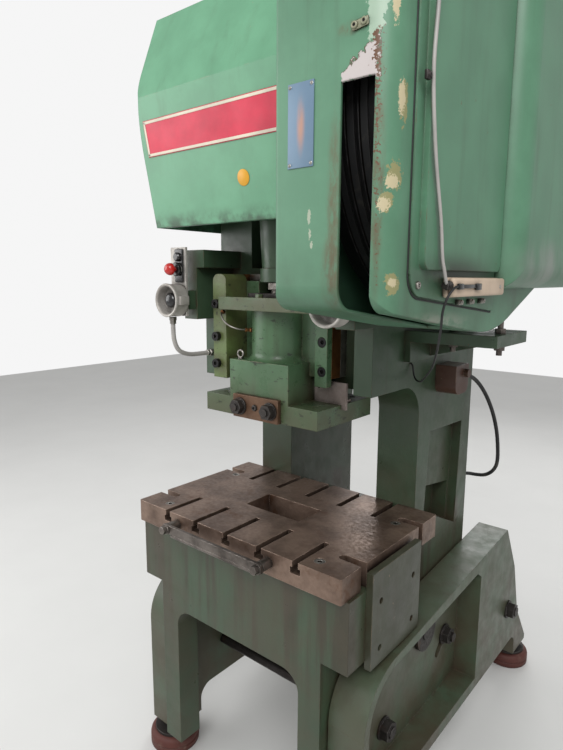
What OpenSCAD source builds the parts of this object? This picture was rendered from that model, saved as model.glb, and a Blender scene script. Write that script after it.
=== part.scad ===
// Open-back inclinable mechanical stamping press with a flywheel guard and two palm buttons.
// Origin: on the floor, at the centre of the four isolator pads.
// +X is to the right seen from the front, +Y to the back, +Z up.

/* [Bolster] */
// Width of the bolster plate
bolster_w = 813; // [760:1:830]
// Depth of the bolster plate, front to back
bolster_d = 533; // [500:1:560]
// Thickness of the bolster plate
bolster_t = 70; // [55:1:90]
// Height of the bolster's top above the floor
bolster_top = 965; // [940:1:1000]
// Width of a T-slot at the top
slot_w = 20; // [14:1:24]
// Length of each T-slot
slot_l = 145; // [110:1:150]
// Distance between T-slots
slot_pitch = 130; // [110:1:140]
// Width of the drop opening
opening_w = 220; // [160:1:230]
// Depth of the drop opening
opening_d = 115; // [90:1:130]

/* [Frame] */
// Half width to the outside of the uprights
upright_out = 330; // [320:1:332]
// Thickness of each upright
upright_t = 144; // [120:1:160]
// Depth of the uprights, front to back
upright_d = 414; // [380:1:440]
// Ram's centre line, measured from the middle of the pads
ram_y = -507; // [-512:1:-500]
// Throat depth, from the ram's centre line to the uprights
throat_d = 290; // [280:1:300]
// Clear height from the bolster to the underside of the head
head_gap = 410; // [390:1:430]
// Radius of the throat's upper corner
throat_r = 100; // [60:1:120]
// Half width of the bed
bed_half = 415; // [408:1:430]
// Thickness of the bed's deck
deck_t = 60; // [40:1:80]
// Half width of the arch under the bed
arch_half = 255; // [220:1:280]
// Height of the bed's front face above the arch
apron_h = 278; // [240:1:300]

/* [Base] */
// Thickness of each leg casting's web
leg_web = 32; // [24:1:40]
// Half width to the outside of the legs
leg_out = 450; // [440:1:470]
// Height of the legs' flange at the front
leg_top = 658; // [630:1:680]
// Radius of the legs' front corner
leg_r = 170; // [120:1:200]
// Distance of the pads from the centre, front to back
pad_y = 640; // [620:1:655]
// Radius of an isolator pad
pad_r = 88; // [75:1:95]
// Height of an isolator pad's rubber
pad_h = 58; // [45:1:64]
// Radius of a trunnion pin
trunnion_r = 45; // [35:1:55]

/* [Ram] */
// Stroke of the ram
stroke = 76.2; // [50:1:77]
// Opening from the bolster to the ram at the top of the stroke
daylight = 316; // [300:1:330]
// Half width of the ram's flange
flange_half = 221; // [205:1:230]
// Thickness of the ram's flange
flange_t = 56; // [45:1:60]
// Half width of the ram's box
box_half = 116; // [110:1:120]
// Radius of the ram's barrel
barrel_r = 86; // [84:1:88]
// Radius of the shank hole
shank_r = 31.75; // [25:1:32]
// Height of the clamp cap
cap_h = 70; // [60:1:80]
// Sliding clearance of the ram in its gibs
slide_fit = 0.3; // [0.2:0.1:0.4]

/* [Drive] */
// Height of the crank's axis above the bolster
crank_rise = 1065; // [1050:1:1080]
// Radius of the crank's main journals
journal_r = 50; // [42:1:55]
// Radius of the crank pin
crankpin_r = 52; // [46:1:53]
// Radius of the ball on the adjusting screw
ball_r = 42; // [38:1:43]
// Radius of the adjusting screw
screw_r = 28; // [24:1:30]
// Radius of the flywheel
wheel_r = 420; // [400:1:425]
// Width of the flywheel's rim
rim_w = 140; // [130:1:150]
// Radius of the motor pulley
pulley_r = 95; // [80:1:100]
// Radial clearance of a running shaft
run_fit = 0.06; // [0.04:0.01:0.09]

/* [Covers] */
// Half width of the crank cover
cover_half = 370; // [366:1:372]
// Thickness of the covers' sheet
sheet = 6; // [4:1:8]
// Width of the flywheel guard, side to side
guard_w = 253; // [245:1:260]
// Depth of the flywheel guard, front to back
guard_d = 936; // [920:1:960]
// Radius of the guard's front bottom corner
guard_r = 50; // [40:1:60]
// Radius of the guard's upright edges
guard_edge_r = 50; // [30:1:55]
// Width of the slot in the guard's front
window_w = 67; // [50:1:70]

/* [Buttons] */
// Outer radius of a palm button's ring guard
ring_r = 52; // [46:1:56]
// Radius of a palm button
palm_r = 24; // [20:1:28]
// Distance of the palm buttons from the centre
palm_x = 305; // [300:1:315]
// Travel of a palm button
palm_travel = 6; // [4:1:8]

/* [Hidden] */
$fn = 64;

// Overshoot of a cut past the surface that it leaves
cut = 1;
// Gap between a fixed pin or bush and its hole
seat_fit = 0.03;

// Heights
bed_top = bolster_top - bolster_t;
head_z = bolster_top + head_gap;
crank_z = bolster_top + crank_rise;
ram_z = bolster_top + daylight;
flange_z = ram_z + flange_t;
head_step_z = head_z + 192;
frame_top = crank_z + 170;

// Lines from front to back
upright_in = upright_out - upright_t;
upright_front = ram_y + throat_d;
upright_back = upright_front + upright_d;
bolster_front = upright_front - bolster_d;
bed_front = bolster_front + 25;
bed_back = upright_front - 123;
apron_t = 60;
pillar_d = 85;
pillar_z = 110;
bed_wide_z = leg_top + 32;

// Legs and feet
leg_in = upright_out + 4;
leg_front = -pad_y - 50;
foot_z = pad_h + 34;
pad_x = (leg_in + leg_out) / 2;
nut_seat_z = foot_z + 58;
arch_z = 190;
rim = 26;
stud_r = 12;
rear_rise = 70;

// Trunnions and the tilt lock
trunnion_y = -190;
trunnion_z = 535;
lock_radius = 200;
lock_angle = -30;
tilt = 20;
lock_r = 16;

// Tie rods: front to back and height of each
tie_places = [[-440, 330], [420, 360]];
tie_r = 18;

// Gibs
strap_d = 93;
liner_d = 44;
way_d = 31;
strap_in = 139;
keeper_t = 24;
strap_out = 195;
wing_out = 165;
way_in = 122;
strap_front = ram_y - strap_d;
way_front = ram_y + liner_d;
way_back = way_front + way_d;
gib_z = head_z + 14;
gib_h = 322;
liner_z = head_z + 37;
liner_h = gib_h - 23;
gib_screw_x = 176;
gib_screw_z = [gib_z + 45, gib_z + 130, gib_z + 231];
gib_screw_r = 8;

// Crank bearings
bush_t = 10;
bearing_r = journal_r + bush_t;
boss_r = 128;
boss_out = cover_half - sheet;
cap_half_h = 98;
cap_front = ram_y - strap_d;
cap_bolt_r = 12;

// Crank and pitman
throw = stroke / 2;
pin_z = crank_z + throw;
cheek_r = 92;
cheek_in = 74;
cheek_out = 106;
big_end_r = 100;
rod_bolt_y = 108;
rod_ear = rod_bolt_y + 20;
pin_bush_t = 10;
big_bore_r = crankpin_r + run_fit + pin_bush_t;
ball_z = flange_z + 208;
sleeve_z = ball_z + 142;
screw_top = ball_z + 290;

// Crank's right end and flywheel
seat_r = 45;
seat_x = 400;
nose_r = 35;
hub_x = [418, 600];
rim_x = 445;
groove_x = [485, 515, 545];
groove_w = 22;
groove_depth = 16;
belt_w = 15;
belt_t = 11;
belt_in = 2;
motor_y = 345;
motor_z = 2000;
motor_r = 130;
motor_shaft_r = 24;
motor_x = [40, 395];

// Covers
cover_z = crank_z - 177;
cover_top = crank_z + 433;
cover_back = -120;
guard_in = cover_half + 9;
guard_out = guard_in + guard_w;
guard_front = ram_y - guard_d / 2;
guard_back = ram_y + guard_d / 2;
guard_low_r = 453;
guard_tail = 70;
guard_z = crank_z - guard_low_r;
guard_corner_z = guard_z + 107;
guard_top = crank_z + wheel_r + 35;
window_x = guard_out - 35 - window_w;
window_top = crank_z + 3;
window_back = guard_front + 375;
panel_t = 5;
panel_raise = 13;
panel_front = guard_front + 75;
panel_back = -486;
belt_front = -480;
belt_out = 690;
belt_back = motor_y + 155;
belt_z = crank_z - 355;
belt_inner_x = motor_x[1] + 5;
belt_edge_r = 58;

// Buttons
palm_z = head_step_z + 62;
palm_front = -700;
palm_back = -645;
stop_plate_t = 8;
stop_z = palm_z + 96;
stop_x = -palm_x + 7;
stop_plate_half = 35;

// Soft routes, chosen by hand
cable_r = 6;
cable_route = [[656.5, -870, 2463], [656.5, -872, 2400], [656.5, -874, 2250],
    [656.5, -874, 2163], [656.5, -882, 2047], [656.5, -860, 1918], [656.5, -826, 1806],
    [656.5, -812, 1740], [656.5, -800, 1714], [655, -787, 1694], [652.5, -776, 1687],
    [652, -766, 1686]];
cord_r = 2.5;
cord_route = [[667, -756.5, 1684], [666, -772, 1681], [660, -786, 1664], [652, -788, 1636],
    [647, -782, 1600], [632, -760, 1560],
    [600, -700, 1530], [555, -618, 1495], [500, -530, 1460], [440, -430, 1427],
    [395, -350, 1408], [362, -308, 1403], [345, -292, 1415], [338, -288, 1440], [330.5, -288, 1450]];
hose_r = 7;
hose_route = [[370, -9.7, 1378], [371, 15, 1378], [374, 50, 1374], [379, 100, 1355],
    [385, 155, 1318], [391, 210, 1265], [396, 260, 1200], [399, 298, 1130], [400, 320, 1060],
    [400, 325, 1010], [394, 325, 981], [378, 325, 957], [354, 325, 941], [325, 325, 935],
    [296, 319, 935], [272, 303, 935], [256, 279, 935], [250, 250, 935], [250, 225, 935],
    [250, 197.3, 935]];
conduit_r = 8;
conduit_route = [[-305, -672, 1576.5], [-305, -672, 1540], [-305, -668, 1500], [-305, -650, 1468],
    [-305, -610, 1452], [-305, -560, 1449], [-305, -507, 1449]];

// Colours
oily_green = [0.24, 0.40, 0.31];
mint_green = [0.42, 0.64, 0.53];
yellow_green = [0.45, 0.60, 0.34];
bare_steel = [0.52, 0.50, 0.48];
brown_steel = [0.45, 0.38, 0.31];
dark_steel = [0.28, 0.27, 0.26];
black_steel = [0.10, 0.10, 0.10];
bronze = [0.62, 0.40, 0.22];
cast_silver = [0.66, 0.66, 0.66];
red_rubber = [0.38, 0.16, 0.13];
tan_plastic = [0.78, 0.70, 0.58];

// A block given by two opposite corners
module block(low, high) {
    translate(low)
        cube(high - low);
}

// An outline in Y and Z, drawn out along X
module prism_x(x0, x1) {
    translate([x0, 0, 0])
        rotate([90, 0, 90])
            linear_extrude(x1 - x0)
                children();
}

// An outline in X and Z, drawn out along Y
module prism_y(y0, y1) {
    translate([0, y1, 0])
        rotate([90, 0, 0])
            linear_extrude(y1 - y0)
                children();
}

// An outline in X and Y, drawn out along Z
module prism_z(z0, z1) {
    translate([0, 0, z0])
        linear_extrude(z1 - z0)
            children();
}

// Round bars along each axis
module bar_x(r, x0, x1, y, z) {
    translate([x0, y, z])
        rotate([0, 90, 0])
            cylinder(h = x1 - x0, r = r);
}

module bar_y(r, y0, y1, x, z) {
    translate([x, y1, z])
        rotate([90, 0, 0])
            cylinder(h = y1 - y0, r = r);
}

module bar_z(r, z0, z1, x, y) {
    translate([x, y, z0])
        cylinder(h = z1 - z0, r = r);
}

// Hexagons along each axis, r to the corners
module hex_x(r, x0, x1, y, z) {
    translate([x0, y, z])
        rotate([0, 90, 0])
            cylinder(h = x1 - x0, r = r, $fn = 6);
}

module hex_y(r, y0, y1, x, z) {
    translate([x, y1, z])
        rotate([90, 0, 0])
            cylinder(h = y1 - y0, r = r, $fn = 6);
}

module hex_z(r, z0, z1, x, y) {
    translate([x, y, z0])
        cylinder(h = z1 - z0, r = r, $fn = 6);
}

// The children and their mirror image across the press's centre plane
module both_sides() {
    children();
    mirror([1, 0, 0])
        children();
}

// A rectangle from low to high with round corners
module rounded_rect(low, high, r) {
    union() {
        translate([low[0] + r, low[1]])
            square([high[0] - low[0] - 2 * r, high[1] - low[1]]);
        translate([low[0], low[1] + r])
            square([high[0] - low[0], high[1] - low[1] - 2 * r]);
        for (x = [low[0] + r, high[0] - r], y = [low[1] + r, high[1] - r])
            translate([x, y])
                circle(r);
    }
}

// A slot with round ends from a to b along the second axis
module slot_outline(x, y0, y1, r) {
    translate([x - r, y0])
        square([2 * r, y1 - y0]);
    for (y = [y0, y1])
        translate([x, y])
            circle(r);
}

// Points of a smooth curve through a route, n to each stretch
function at(p, i) = p[min(max(i, 0), len(p) - 1)];
function blend_point(a, b, c, d, t) =
    0.5 * (2 * b + (c - a) * t + (2 * a - 5 * b + 4 * c - d) * t * t
        + (3 * b - a - 3 * c + d) * t * t * t);
function smooth(p, n) = concat(
    [for (i = [0:len(p) - 2], k = [0:n - 1])
        blend_point(at(p, i - 1), p[i], p[i + 1], at(p, i + 2), k / n)],
    [p[len(p) - 1]]);
function unit(v) = v / norm(v);
function heading(p, i) = unit(at(p, i + 1) - at(p, i - 1));
function ring(p, i, side, r, sides) =
    let (t = heading(p, i), u = unit(cross(t, side)), v = cross(u, t))
    [for (k = [0:sides - 1]) p[i] + r * (cos(360 * k / sides) * u + sin(360 * k / sides) * v)];

// A round tube swept along a route; side is a direction that no stretch runs along
module tube(route, r, side, n = 1, sides = 8) {
    path = smooth(route, n);
    last = len(path) - 1;
    points = [for (i = [0:last]) each ring(path, i, side, r, sides)];
    walls = [for (i = [0:last - 1], k = [0:sides - 1])
        let (a = i * sides + k, b = i * sides + (k + 1) % sides)
        each [[a, b, b + sides], [a, b + sides, a + sides]]];
    start = [for (k = [1:sides - 2]) [0, k + 1, k]];
    finish = [for (k = [1:sides - 2]) [last * sides, last * sides + k, last * sides + k + 1]];
    polyhedron(concat(points), concat(walls, start, finish));
}

// Base

// Outline of a leg from the side: feet, front column, top flange and rear slope
module leg_outline() {
    difference() {
        union() {
            polygon([[leg_front, foot_z], [leg_front, leg_top - leg_r], [leg_front + leg_r, leg_top],
                [354, leg_top + rear_rise], [475, 528], [553, 296], [pad_y + 50, foot_z + 20],
                [pad_y + 50, foot_z]]);
            translate([leg_front + leg_r, leg_top - leg_r])
                circle(leg_r);
        }
        rounded_rect([leg_front + 130, foot_z - 80], [pad_y - 100, arch_z], 50);
    }
}

// Hollow of a leg on its outer face, ahead of the rib
module leg_recess() {
    polygon([[leg_front + rim, arch_z + 40], [leg_front + rim, leg_top - leg_r],
        [leg_front + leg_r, leg_top - rim], [60, leg_top + 6], [96, leg_top - 20],
        [96, arch_z + 40]]);
    translate([leg_front + leg_r, leg_top - leg_r])
        circle(leg_r - rim);
}

// Places of the four pads, on both legs
module at_pads() {
    for (x = [-pad_x, pad_x], y = [-pad_y, pad_y])
        translate([x, y, 0])
            children();
}

// Curved slot in the leg, in which the tilt lock bolt runs
module tilt_slot(x0, x1) {
    translate([x0, trunnion_y, trunnion_z])
        rotate([90, 0, 90])
            rotate([0, 0, lock_angle - tilt])
                rotate_extrude(angle = tilt)
                    translate([lock_radius - lock_r - 2, 0])
                        square([2 * (lock_r + 2), x1 - x0]);
    for (a = [lock_angle, lock_angle - tilt])
        bar_x(lock_r + 1.2, x0, x1, trunnion_y + lock_radius * cos(a),
            trunnion_z + lock_radius * sin(a));
}

module leg() {
    difference() {
        prism_x(leg_in, leg_out)
            leg_outline();
        prism_x(leg_in + leg_web, leg_out + cut)
            leg_recess();
        prism_x(leg_in - cut, leg_out - leg_web)
            polygon([[130, arch_z + 40], [130, leg_top], [345, leg_top + 36], [446, 520],
                [524, 288], [556, arch_z + 40]]);
        tilt_slot(leg_in - cut, leg_in + leg_web + cut);
        bar_x(trunnion_r + seat_fit, leg_in - cut, leg_in + leg_web + cut, trunnion_y, trunnion_z);
        bar_x(tie_r + seat_fit, leg_in - cut, leg_in + leg_web + cut, tie_places[0][0], tie_places[0][1]);
        bar_x(tie_r + seat_fit, leg_in - cut, leg_out + cut, tie_places[1][0], tie_places[1][1]);
        for (y = [-pad_y, pad_y]) {
            bar_z(stud_r + 1, foot_z - cut, nut_seat_z + cut, pad_x, y);
            bar_z(30, nut_seat_z, arch_z + 110, pad_x, y);
        }
    }
}

module leg_right() {
    color(oily_green)
        leg();
}

module leg_left() {
    color(oily_green)
        mirror([1, 0, 0])
            leg();
}

module rear_beam() {
    reach = leg_out - leg_web;
    y = tie_places[1][0];
    z = tie_places[1][1];
    color(oily_green)
        difference() {
            union() {
                block([-reach, y - 12, z - 60], [reach, y + 12, z + 60]);
                for (low = [z - 60, z + 42])
                    block([-reach, y - 42, low], [reach, y + 42, low + 18]);
                bar_x(32, -reach, reach, y, z);
            }
            bar_x(tie_r + seat_fit, -reach - cut, reach + cut, y, z);
        }
}

module tie_rods() {
    ends = [leg_in + leg_web, leg_out];
    color(dark_steel)
        for (i = [0, 1]) {
            y = tie_places[i][0];
            z = tie_places[i][1];
            bar_x(tie_r, -ends[i] - 38, ends[i] + 38, y, z);
            both_sides()
                difference() {
                    union() {
                        bar_x(tie_r + 18, ends[i], ends[i] + 6, y, z);
                        hex_x(tie_r + 14, ends[i] + 6, ends[i] + 32, y, z);
                    }
                    bar_x(tie_r + seat_fit, ends[i] - cut, ends[i] + 33, y, z);
                }
        }
}

module isolator_pads() {
    lip = 18;
    color(red_rubber)
        at_pads()
            rotate_extrude()
                union() {
                    square([pad_r - lip, pad_h]);
                    translate([0, lip / 2])
                        square([pad_r, pad_h - 1.5 * lip]);
                    translate([pad_r - lip, pad_h - lip])
                        circle(lip);
                    square([pad_r - 4, lip]);
                }
}

module isolator_studs() {
    color(dark_steel)
        at_pads() {
            bar_z(70, pad_h, pad_h + 10, 0, 0);
            difference() {
                hex_z(24, pad_h + 10, foot_z, 0, 0);
                bar_z(stud_r + seat_fit, pad_h + 9, foot_z + cut, 0, 0);
            }
            bar_z(stud_r, pad_h + 10, nut_seat_z + 36, 0, 0);
            difference() {
                union() {
                    bar_z(26, nut_seat_z, nut_seat_z + 4, 0, 0);
                    hex_z(22, nut_seat_z + 4, nut_seat_z + 24, 0, 0);
                }
                bar_z(stud_r + seat_fit, nut_seat_z - cut, nut_seat_z + 25, 0, 0);
            }
        }
}

module trunnion_pins() {
    web_out = leg_in + leg_web;
    color(dark_steel)
        both_sides() {
            bar_x(trunnion_r, upright_in + 20, web_out, trunnion_y, trunnion_z);
            bar_x(trunnion_r + 20, web_out, web_out + 16, trunnion_y, trunnion_z);
            bar_x(trunnion_r - 17, web_out + 16, web_out + 20, trunnion_y, trunnion_z);
        }
}

// Frame

// Side outline of one upright with the bed, the throat still filled
module upright_outline() {
    polygon([[bed_front + 25, bed_top], [bed_front + 25, 640], [-420, 380],
        [upright_back - 47, 380], [upright_back, 430], [upright_back, crank_z + 30],
        [upright_back - 140, frame_top], [strap_front + 60, frame_top],
        [strap_front, frame_top - 60], [strap_front, head_step_z],
        [ram_y, head_step_z], [ram_y, bed_top]]);
}

// The throat as a cut, open at the front, with a round upper corner
module throat() {
    far = upright_front - throat_r;
    block([0, bed_front - cut, bed_top], [upright_out + cut, upright_front, head_z - throat_r]);
    block([0, bed_front - cut, bed_top], [upright_out + cut, far, head_z]);
    bar_x(throat_r, 0, upright_out + cut, far, head_z - throat_r);
}

// The hollow in the outer face of an upright
module side_hollow() {
    prism_x(upright_out - 34, upright_out + cut)
        polygon([[upright_front + 87, bed_top + 310], [upright_back - 72, bed_top + 300],
            [upright_back - 90, bed_top - 85], [upright_front + 67, bed_top + 35]]);
    prism_x(upright_out - 90, upright_out)
        polygon([[upright_front + 95, bed_top + 105], [upright_back - 90, bed_top + 70],
            [upright_back - 98, bed_top - 75], [upright_front + 80, bed_top + 30]]);
}

module upright() {
    difference() {
        union() {
            prism_x(upright_in, upright_out)
                upright_outline();
            bar_x(boss_r, upright_out, boss_out, ram_y, crank_z);
            block([way_in, way_back, head_z], [upright_in, way_back + 90, gib_z + gib_h + 20]);
        }
        throat();
        block([0, strap_front - cut, head_z - cut], [270, way_back, gib_z + gib_h + 20]);
        block([0, strap_front - cut, gib_z + gib_h], [236, way_back, crank_z - cap_half_h - 10]);
        block([0, strap_front - cut, crank_z - 244], [upright_out + cut, way_back, crank_z - 130]);
        block([0, cap_front - cut, crank_z - cap_half_h], [upright_out, ram_y, crank_z + cap_half_h]);
        side_hollow();
    }
}

// Front wall and deck of the bed, with the arch below
module bed() {
    difference() {
        union() {
            block([-upright_out, bed_front, pillar_z], [upright_out, bed_front + apron_t, bed_top]);
            both_sides()
                block([arch_half, bed_front, pillar_z],
                    [upright_out, bed_front + pillar_d, bed_top - apron_h]);
            prism_z(bed_wide_z, bed_top)
                polygon([[-bed_half, bed_front], [bed_half, bed_front], [bed_half, bed_back],
                    [upright_out, bed_back + 75], [-upright_out, bed_back + 75],
                    [-bed_half, bed_back]]);
            block([-upright_in - cut, bed_back, bed_top - deck_t], [upright_in + cut, -60, bed_top]);
        }
        prism_y(bed_front - cut, bed_front + pillar_d + cut)
            rounded_rect([-arch_half, pillar_z - 200], [arch_half, bed_top - apron_h], 60);
        block([-upright_in, bed_front + apron_t, bed_wide_z - cut],
            [upright_in, bed_back + 76, bed_top - deck_t]);
        both_sides()
            block([upright_out, bed_front + apron_t, bed_wide_z - cut],
                [bed_half - 40, bed_back - 20, bed_top - deck_t]);
    }
}

// Walls that join the two uprights in the head
module head_webs() {
    span = upright_in + cut;
    block([-span, ram_y + 172, head_z + 25], [span, ram_y + 212, crank_z - 130]);
    block([-span, upright_back - 40, head_z + 85], [span, upright_back, crank_z + 30]);
    block([-span, ram_y + 172, head_z + 85], [span, upright_back, head_z + 125]);
    block([-span, ram_y + 172, crank_z + 130], [span, upright_back - 140, frame_top]);
}

module frame() {
    color(oily_green)
        difference() {
            union() {
                both_sides()
                    upright();
                bed();
                head_webs();
            }
            both_sides() {
                bar_x(trunnion_r + run_fit, upright_in - cut, upright_out + cut, trunnion_y, trunnion_z);
                bar_x(bearing_r + seat_fit, upright_in - cut, boss_out + cut, ram_y, crank_z);
                lock_shank(lock_r + seat_fit);
                gib_shanks(gib_screw_r + seat_fit);
                cap_shanks(cap_bolt_r + seat_fit);
            }
            block([-opening_w / 2 - 40, ram_y - 90, bed_top - deck_t - cut],
                [opening_w / 2 + 40, ram_y + 130, bed_top + cut]);
            bolster_screw_shanks(10 + seat_fit);
        }
}

// Shank of the right tilt lock bolt
module lock_shank(r) {
    bar_x(r, upright_out - 60, leg_in + leg_web + 40, trunnion_y + lock_radius * cos(lock_angle),
        trunnion_z + lock_radius * sin(lock_angle));
}

module tilt_lock_bolts() {
    y = trunnion_y + lock_radius * cos(lock_angle);
    z = trunnion_z + lock_radius * sin(lock_angle);
    web_out = leg_in + leg_web + 0.3;
    color(dark_steel)
        both_sides() {
            lock_shank(lock_r);
            difference() {
                union() {
                    bar_x(36, web_out, web_out + 7, y, z);
                    hex_x(30, web_out + 7, web_out + 29, y, z);
                }
                bar_x(lock_r + seat_fit, web_out - cut, web_out + 30, y, z);
            }
        }
}

// One T-slot that runs in from an edge: throat above, wider foot below
module t_slot(x, y0, y1) {
    foot = slot_w * 0.85;
    deep = bolster_t * 0.5;
    block([x - slot_w / 2, y0, bolster_top - deep], [x + slot_w / 2, y1, bolster_top + cut]);
    block([x - foot, y0, bolster_top - deep], [x + foot, y1, bolster_top - deep * 0.5]);
}

// Places of the four bolster screws, from the press's centre plane and the front edge
screw_places = [[306, bolster_front + 47], [339, bolster_front + 391]];
module bolster_screw_shanks(r) {
    both_sides()
        for (p = screw_places)
            bar_z(r, bed_top - 45, bolster_top - 10, p[0], p[1]);
}

module bolster() {
    y1 = bolster_front + bolster_d;
    color(brown_steel)
        difference() {
            prism_z(bed_top, bolster_top)
                rounded_rect([-bolster_w / 2, bolster_front], [bolster_w / 2, y1], 6);
            for (i = [-2:2]) {
                t_slot(i * slot_pitch, bolster_front - cut, bolster_front + slot_l);
                t_slot(i * slot_pitch, y1 - slot_l, y1 + cut);
            }
            block([-opening_w / 2, ram_y + 20 - opening_d / 2, bed_top - cut],
                [opening_w / 2, ram_y + 20 + opening_d / 2, bolster_top + cut]);
            both_sides()
                for (y = [bolster_front + 105, bolster_front + 425])
                    prism_z(bed_top - cut, bolster_top + cut) {
                        translate([bolster_w / 2 - 62, y])
                            circle(14);
                        translate([bolster_w / 2 - 62, y - 14])
                            square([80, 28]);
                    }
            bolster_screw_shanks(10 + seat_fit);
            both_sides()
                for (p = screw_places)
                    bar_z(16, bolster_top - 14, bolster_top + cut, p[0], p[1]);
        }
}

module bolster_screws() {
    color(bare_steel)
        both_sides()
            for (p = screw_places) {
                bar_z(10, bed_top - 44, bolster_top - 14, p[0], p[1]);
                difference() {
                    bar_z(15.5, bolster_top - 14, bolster_top - 1, p[0], p[1]);
                    hex_z(8, bolster_top - 8, bolster_top, p[0], p[1]);
                }
            }
}

module bed_side_plate() {
    color(dark_steel)
        difference() {
            block([bed_half, bolster_front + 105, leg_top + 12],
                [bed_half + 20, bolster_front + 374, bolster_top - 20]);
            for (y = [bolster_front + 150, bolster_front + 330], z = [leg_top + 60, bed_top - 40])
                bar_x(9, bed_half + 8, bed_half + 21, y, z);
        }
}

// Front bar with the round rod under it
bar_x0 = -226;
bar_x1 = 180;
bar_y0 = bolster_front - 46;
bar_z0 = bolster_top - 45;
module front_bar() {
    color(dark_steel) {
        difference() {
            block([bar_x0, bar_y0, bar_z0], [bar_x1, bar_y0 + 10, bar_z0 + 26]);
            for (x = [bar_x0 + 13, bar_x1 - 13])
                bar_y(7 + seat_fit, bar_y0 - cut, bar_y0 + 11, x, bar_z0 + 13);
        }
        bar_x(7, bar_x0 + 30, bar_x1 - 30, bar_y0 + 9, bar_z0 - 6.9);
    }
}

module front_bar_bolts() {
    z = bar_z0 + 13;
    color(bare_steel)
        for (x = [bar_x0 + 13, bar_x1 - 13]) {
            bar_y(7, bar_y0 - 6, bolster_front, x, z);
            difference() {
                bar_y(16, bar_y0 + 10, bolster_front, x, z);
                bar_y(7 + seat_fit, bar_y0, bolster_front + cut, x, z);
            }
            difference() {
                union() {
                    bar_y(16, bar_y0 - 4, bar_y0, x, z);
                    hex_y(13, bar_y0 - 18, bar_y0 - 4, x, z);
                }
                bar_y(7 + seat_fit, bar_y0 - 6, bar_y0 + cut, x, z);
            }
        }
}

// Gibs

// Shanks of the right gib's screws
module gib_shanks(r) {
    for (z = gib_screw_z)
        bar_y(r, strap_front, way_back + 50, gib_screw_x, z);
}

module gib() {
    difference() {
        union() {
            block([strap_in, strap_front, gib_z], [strap_out, ram_y, gib_z + gib_h - 22]);
            block([strap_in + 22, strap_front, gib_z + gib_h - 23],
                [strap_out - 22, ram_y, gib_z + gib_h]);
            for (x = [strap_in + 22, strap_out - 22])
                bar_y(22, strap_front, ram_y, x, gib_z + gib_h - 22);
        }
        gib_shanks(gib_screw_r + seat_fit);
    }
}

module gib_left() {
    color(yellow_green)
        mirror([1, 0, 0])
            gib();
}

// Flat keeper, thinner than the left gib, with its screw heads sunk
module gib_right() {
    y0 = ram_y - keeper_t;
    color(oily_green)
        difference() {
            block([strap_in + 13, y0, gib_z], [strap_out, ram_y, gib_z + gib_h]);
            gib_shanks(gib_screw_r + seat_fit);
            for (z = gib_screw_z)
                bar_y(15, y0 - cut, y0 + 15, gib_screw_x, z);
        }
}

module gib_liners() {
    color(bronze)
        both_sides()
            difference() {
                block([wing_out + slide_fit, ram_y, liner_z], [strap_out, way_front, liner_z + liner_h]);
                gib_shanks(gib_screw_r + seat_fit);
            }
}

module way_plates() {
    color(bare_steel)
        both_sides()
            difference() {
                block([way_in, way_front, liner_z], [strap_out, way_back, liner_z + liner_h]);
                gib_shanks(gib_screw_r + seat_fit);
            }
}

module gib_screws() {
    color(black_steel)
        for (side = [0, 1], z = gib_screw_z) {
            y = side == 0 ? strap_front : ram_y - keeper_t + 15;
            x = side == 0 ? -gib_screw_x : gib_screw_x;
            bar_y(gib_screw_r, y, way_back + 48, x, z);
            difference() {
                bar_y(14, y - 14, y, x, z);
                hex_y(7, y - 15, y - 6, x, z);
            }
        }
}

module tie_bar() {
    z0 = gib_z + 216;
    back = strap_front;
    color(oily_green) {
        block([-strap_in - 8, back - 24, z0], [upright_in + 46, back, z0 + 38]);
        hex_z(12, z0 + 38, z0 + 48, 10, back - 12);
    }
}

// Bearings

// Shanks of the right bearing cap's bolts
module cap_shanks(r) {
    for (x = [upright_in + 34, upright_out - 34], z = [crank_z - 79, crank_z + 79])
        bar_y(r, cap_front, ram_y + 70, x, z);
}

module main_bushes() {
    color(bronze)
        both_sides()
            difference() {
                union() {
                    bar_x(bearing_r, upright_in, boss_out, ram_y, crank_z);
                    bar_x(bearing_r + 12, upright_in - 12, upright_in, ram_y, crank_z);
                }
                bar_x(journal_r + run_fit, upright_in - 13, boss_out + cut, ram_y, crank_z);
            }
}

module bearing_caps() {
    color(oily_green)
        both_sides()
            difference() {
                block([upright_in, cap_front, crank_z - cap_half_h],
                    [upright_out, ram_y, crank_z + cap_half_h]);
                bar_x(bearing_r + seat_fit, upright_in - cut, upright_out + cut, ram_y, crank_z);
                cap_shanks(cap_bolt_r + seat_fit);
            }
}

module cap_bolts() {
    color(dark_steel)
        both_sides()
            for (x = [upright_in + 34, upright_out - 34], z = [crank_z - 79, crank_z + 79]) {
                bar_y(cap_bolt_r, cap_front, ram_y + 68, x, z);
                hex_y(21, cap_front - 15, cap_front, x, z);
            }
}

// Crank cover

module cover_body(inset) {
    intersection() {
        prism_x(-cover_half + inset, cover_half - inset)
            polygon([[ram_y - 166 + inset, cover_z - inset], [ram_y - 238 + inset, cover_z + 365],
                [ram_y - 144 + inset, cover_top - inset], [cover_back - inset, cover_top - inset],
                [cover_back - inset, cover_z - inset]]);
        prism_z(cover_z - 20, cover_top + 20)
            rounded_rect([-cover_half + inset, ram_y - 240 + inset], [cover_half - inset, 60], 34 - inset);
    }
}

module crank_cover() {
    color(mint_green)
        difference() {
            union() {
                difference() {
                    cover_body(0);
                    cover_body(sheet);
                }
                // Rim turned in along the lower front edge
                block([-cover_half + 34, ram_y - 166, cover_z], [cover_half - 34, ram_y - 150, cover_z + 5]);
            }
            block([-upright_out, cover_back - 60, cover_z - cut],
                [upright_out, cover_back + 60, frame_top + cut]);
            bar_x(boss_r - 30, cover_half - 30, cover_half + cut, ram_y, crank_z);
        }
}

// Flywheel guard

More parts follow.
